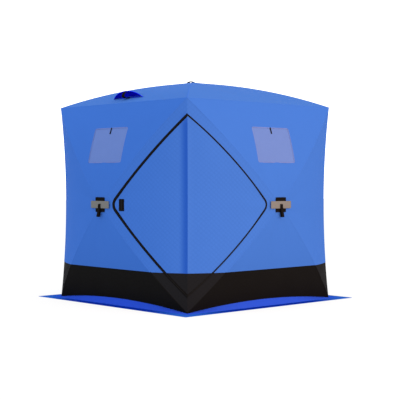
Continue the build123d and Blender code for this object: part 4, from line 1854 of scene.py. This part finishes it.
@dataclass
class Seams:
    """The tapes over the seams: along the rods, the top edges, the corners and the black band."""

    form: ShelterForm
    corners: CornerPanels
    tape: SeamTape = SeamTape()
    fine: SeamTape = SeamTape(0.009, 0.0009)

    def normal(self, patch: Patch, u: Array, v: Array, out: Array) -> Array:
        """A patch's normals, turned to face a direction."""
        away = patch.normal(u, v)
        return away * np.sign(away @ out)[..., None]

    def wall_rod(self, top: bool, low: float, high: float) -> Surface:
        """The tape over the front wall's right rod, between two heights.

        Args:
            top: Whether it is the rod above the hub, or else the one below it.
            low: Height of its lower end.
            high: Height of its upper end.

        Returns:
            The tape.
        """
        own = self.form.window_patch() if top else self.form.lower_patch()
        corner = self.corners.patch
        u = np.linspace(0.012, 1, 1601)
        height = own.point(u, np.ones_like(u))[:, 2]
        u = np.interp(np.linspace(0, 1, 70), [0, 1], u[(height >= low) & (height <= high)][[0, -1]])
        one = np.ones_like(u)
        path = own.point(u, one)
        wall = self.normal(own, u, one, FRONT)
        side = self.normal(corner, u, np.full_like(u, float(top)), FRONT)
        return self.tape.surface(path, wall, side) if top else self.tape.surface(path, side, wall)

    def all_round(self, surface: Surface) -> Surface:
        """A tape on the front wall's right with its mirror images, on every wall."""
        return round_about(joined([surface, surface.mirrored()]))

    def roof_rod(self) -> Surface:
        """The tape over the roof rod that ends at the door's corner."""
        patch = self.form.roof_patch()
        u = np.linspace(0.03, 1, 70)
        one = np.ones_like(u)
        left = self.normal(patch, u, one, UP)
        return self.tape.surface(patch.point(u, one), mirrored(left), left)

    def top_edge(self) -> Surface:
        """The tape over the edge between the front wall and the roof."""
        v = np.linspace(0, 1, 61)
        one = np.ones_like(v)
        wall = self.normal(self.form.window_patch(), one, v, FRONT)
        roof = self.normal(self.form.roof_patch(), one, v, UP)
        return self.tape.surface(self.form.window_patch().point(one, v), roof, wall)

    def crease(self) -> Surface:
        """The tape over a plain corner's crease, above the band."""
        rows = np.linspace(self.form.band_top, self.form.corner_height, 81)
        x = self.corners.crease_x(rows)
        path = self.corners.skin(x, rows)
        near = self.corners.skin(x - 0.004, rows)
        left = unit(np.cross(unit(path - near), unit(np.gradient(path, axis=0))))
        return self.fine.surface(path, left, mirrored(left))

    def band_seam(self) -> Surface:
        """The bound seam between a wall's bottom panel and its band."""
        patch = self.form.lower_patch()
        reach = float(patch.side_x(np.array([self.form.band_top]))[0])
        x = np.linspace(-reach, reach, 81)
        u, v = patch.locate(x, np.full_like(x, self.form.band_top - 0.003), FRONT_AXES)
        away = self.normal(patch, u, v, FRONT)
        return self.fine.surface(patch.point(u, v), away, away)

    def build(self) -> None:
        """Makes the tapes."""
        form = self.form
        upper = self.wall_rod(True, form.middle, form.corner_height)
        lower = self.wall_rod(False, form.band_top, form.middle)
        rods = self.all_round(joined([upper, lower]))
        tips = self.all_round(self.wall_rod(False, 0.0, form.band_top))
        plain_corners = round_about(self.crease(), (1, 2, 3))
        pieces = (
            ("wall_seam_tapes", rods, Finish.SEAM, "wall_fabric"),
            ("band_corner_tapes", tips, Finish.BAND, "band_fabric"),
            ("roof_seam_tapes", round_about(self.roof_rod()), Finish.SEAM, "roof_fabric"),
            ("top_edge_tapes", round_about(self.top_edge()), Finish.SEAM, "roof_fabric"),
            ("corner_seam_tapes", plain_corners, Finish.SEAM, "wall_fabric"),
            ("band_seam_tapes", round_about(self.band_seam()), Finish.BAND, "band_fabric"),
        )
        for name, surface, finish, slot in pieces:
            Trim(name, surface, finish, slot).make()


@dataclass
class SnowSkirt:
    """The flap that falls from each hem and lies on the ice, mitred at the corners."""

    form: ShelterForm
    slope: float = 0.065
    reach: float = 0.155
    depth: float = 0.003

    def rail(self, reach: float, height: float, t: Array) -> Array:
        """A straight line along the wall, mitred at both ends."""
        x = (t * 2 - 1) * (self.form.half + reach)
        return np.stack([x, np.full_like(t, -self.form.half - reach), np.full_like(t, height)], -1)

    def between(self, low: Array, high: Array, count: int) -> Surface:
        """The sheet of straight lines between two rails."""
        points = low + (high - low) * np.linspace(0, 1, count)[:, None, None]
        return grid_surface(points, points[..., [0, 1]].copy())

    def build(self) -> None:
        """Makes the four flaps and their outer strips."""
        t = np.linspace(0, 1, 121)
        hem = self.form.lower_patch().point(np.ones_like(t), t)
        bend = self.rail(self.slope, self.form.ground, t)
        slope = self.between(bend, hem, 9)
        strip = self.between(self.rail(self.reach, self.form.ground, t), bend, 7)
        for side in Side:
            nodes = (f"{side.word}_snow_skirt",)
            flaps = (
                ("cloth", slope, Finish.SKIRT, nodes, "stretched"),
                ("strip", strip, Finish.SKIRT_EDGE, (), "laid"),
            )
            for part, sheet, finish, stands_for, held in flaps:
                name, flap = f"{side.word}_skirt_{part}", sheet.turned(side.value)
                Cloth(name, flap, finish, "skirt_fabric", stands_for, self.depth, held).make()


@dataclass
class Studio:
    """The pale floor, the soft light and the camera at the photograph's angle."""

    azimuth: float = 47.608
    distance: float = 10.08
    height: float = 1.1213
    pan: float = 0.3111
    pitch: float = -1.1126
    focal_pixels: float = 1060.66
    frame_pixels: float = 400.0
    sensor: float = 36.0
    sky: float = 1.68
    floor_span: float = 40.0
    floor_colour: tuple = (0.12, 0.12, 0.12, 1.0)
    floor_glow: float = 0.84
    box_place: tuple = (7.5, 0.0, 1.6)
    box_target: tuple = (1.0, 0.0, 0.9)
    box_size: float = 3.5
    box_power: float = 260.0
    box_colour: tuple = (1.85, 0.92, 0.42)

    def camera(self) -> None:
        """Places the camera: it looks along its back line, panned and pitched a little."""
        azimuth, pan, pitch = (math.radians(a) for a in (self.azimuth, self.pan, self.pitch))
        back = Vector((math.sin(azimuth), -math.cos(azimuth), 0))
        right = Vector((math.cos(azimuth), math.sin(azimuth), 0))
        level = back * -math.cos(pan) + right * math.sin(pan)
        ahead = level * math.cos(pitch) + Vector((0, 0, math.sin(pitch)))
        across = level.cross(Vector((0, 0, 1))).normalized()
        upward = across.cross(ahead)
        data = bpy.data.cameras.new("camera")
        data.sensor_width = self.sensor
        data.lens = self.focal_pixels / self.frame_pixels * self.sensor
        data.clip_end = 200
        camera = bpy.data.objects.new("camera", data)
        turn = Matrix((across, upward, -ahead)).transposed().to_4x4()
        place = back * self.distance + Vector((0, 0, self.height))
        camera.matrix_world = Matrix.Translation(place) @ turn
        bpy.context.scene.collection.objects.link(camera)
        bpy.context.scene.camera = camera

    def floor(self) -> None:
        """A wide pale floor that glows a little, so that it stays white under the shelter."""
        span = self.floor_span
        corners = [(-span, -span, 0.0), (span, -span, 0.0), (span, span, 0.0), (-span, span, 0.0)]
        mesh = bpy.data.meshes.new("floor")
        mesh.from_pydata(corners, [], [(0, 1, 2, 3)])
        nodes = Nodes("floor")
        nodes.shader(
            {
                "Base Color": self.floor_colour,
                "Roughness": 0.9,
                "Specular IOR Level": 0.0,
                "Emission Color": (1.0, 1.0, 1.0, 1.0),
                "Emission Strength": self.floor_glow,
            }
        )
        mesh.materials.append(nodes.material)
        floor = bpy.data.objects.new("floor", mesh)
        bpy.context.scene.collection.objects.link(floor)

    def soft_box(self) -> None:
        """A square soft box on the right that looks at the right wall."""
        data = bpy.data.lights.new("right_box", "AREA")
        data.shape, data.size = "SQUARE", self.box_size
        data.energy, data.color = self.box_power, self.box_colour
        box = bpy.data.objects.new("right_box", data)
        box.location = self.box_place
        box.rotation_mode = "QUATERNION"
        way = Vector(self.box_target) - Vector(self.box_place)
        box.rotation_quaternion = way.to_track_quat("-Z", "Y")
        bpy.context.scene.collection.objects.link(box)

    def build(self) -> None:
        """Sets the studio."""
        world = bpy.data.worlds.new("studio")
        world.use_nodes = True
        background = world.node_tree.nodes["Background"]
        background.inputs[0].default_value = (1.0, 1.0, 1.0, 1.0)
        background.inputs[1].default_value = self.sky
        bpy.context.scene.world = world
        bpy.context.scene.view_settings.view_transform = "Standard"
        self.floor()
        self.soft_box()
        self.camera()


def dress_frame() -> None:
    """Gives the rods, hubs and joints of the frame their finishes."""
    finishes = {
        Finish.ROD: ("wall_poles", "roof_poles"),
        Finish.HUB: ("wall_hubs", "roof_hub", "top_corner_joints", "ground_corner_joints"),
    }
    for finish, names in finishes.items():
        for name in names:
            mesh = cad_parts[name].data
            mesh.materials.clear()
            mesh.materials.append(finish.made)


def main() -> None:
    """Builds the shelter's looks round its frame, then the studio."""
    form = ShelterForm()
    windows, corners, vents = Windows(form), CornerPanels(form), Vents(form)
    parts = (
        WallPanels(form, windows),
        windows,
        corners,
        RoofPanels(form, vents),
        vents,
        SnowSkirt(form),
        HubFittings(form),
        Seams(form, corners),
    )
    for part in parts:
        part.build()
        log.info("%s built", type(part).__name__)
    dress_frame()
    Studio().build()
    bpy.context.view_layer.update()


if __name__ == "__main__":
    logging.basicConfig(level=logging.INFO, format="%(message)s")
    main()
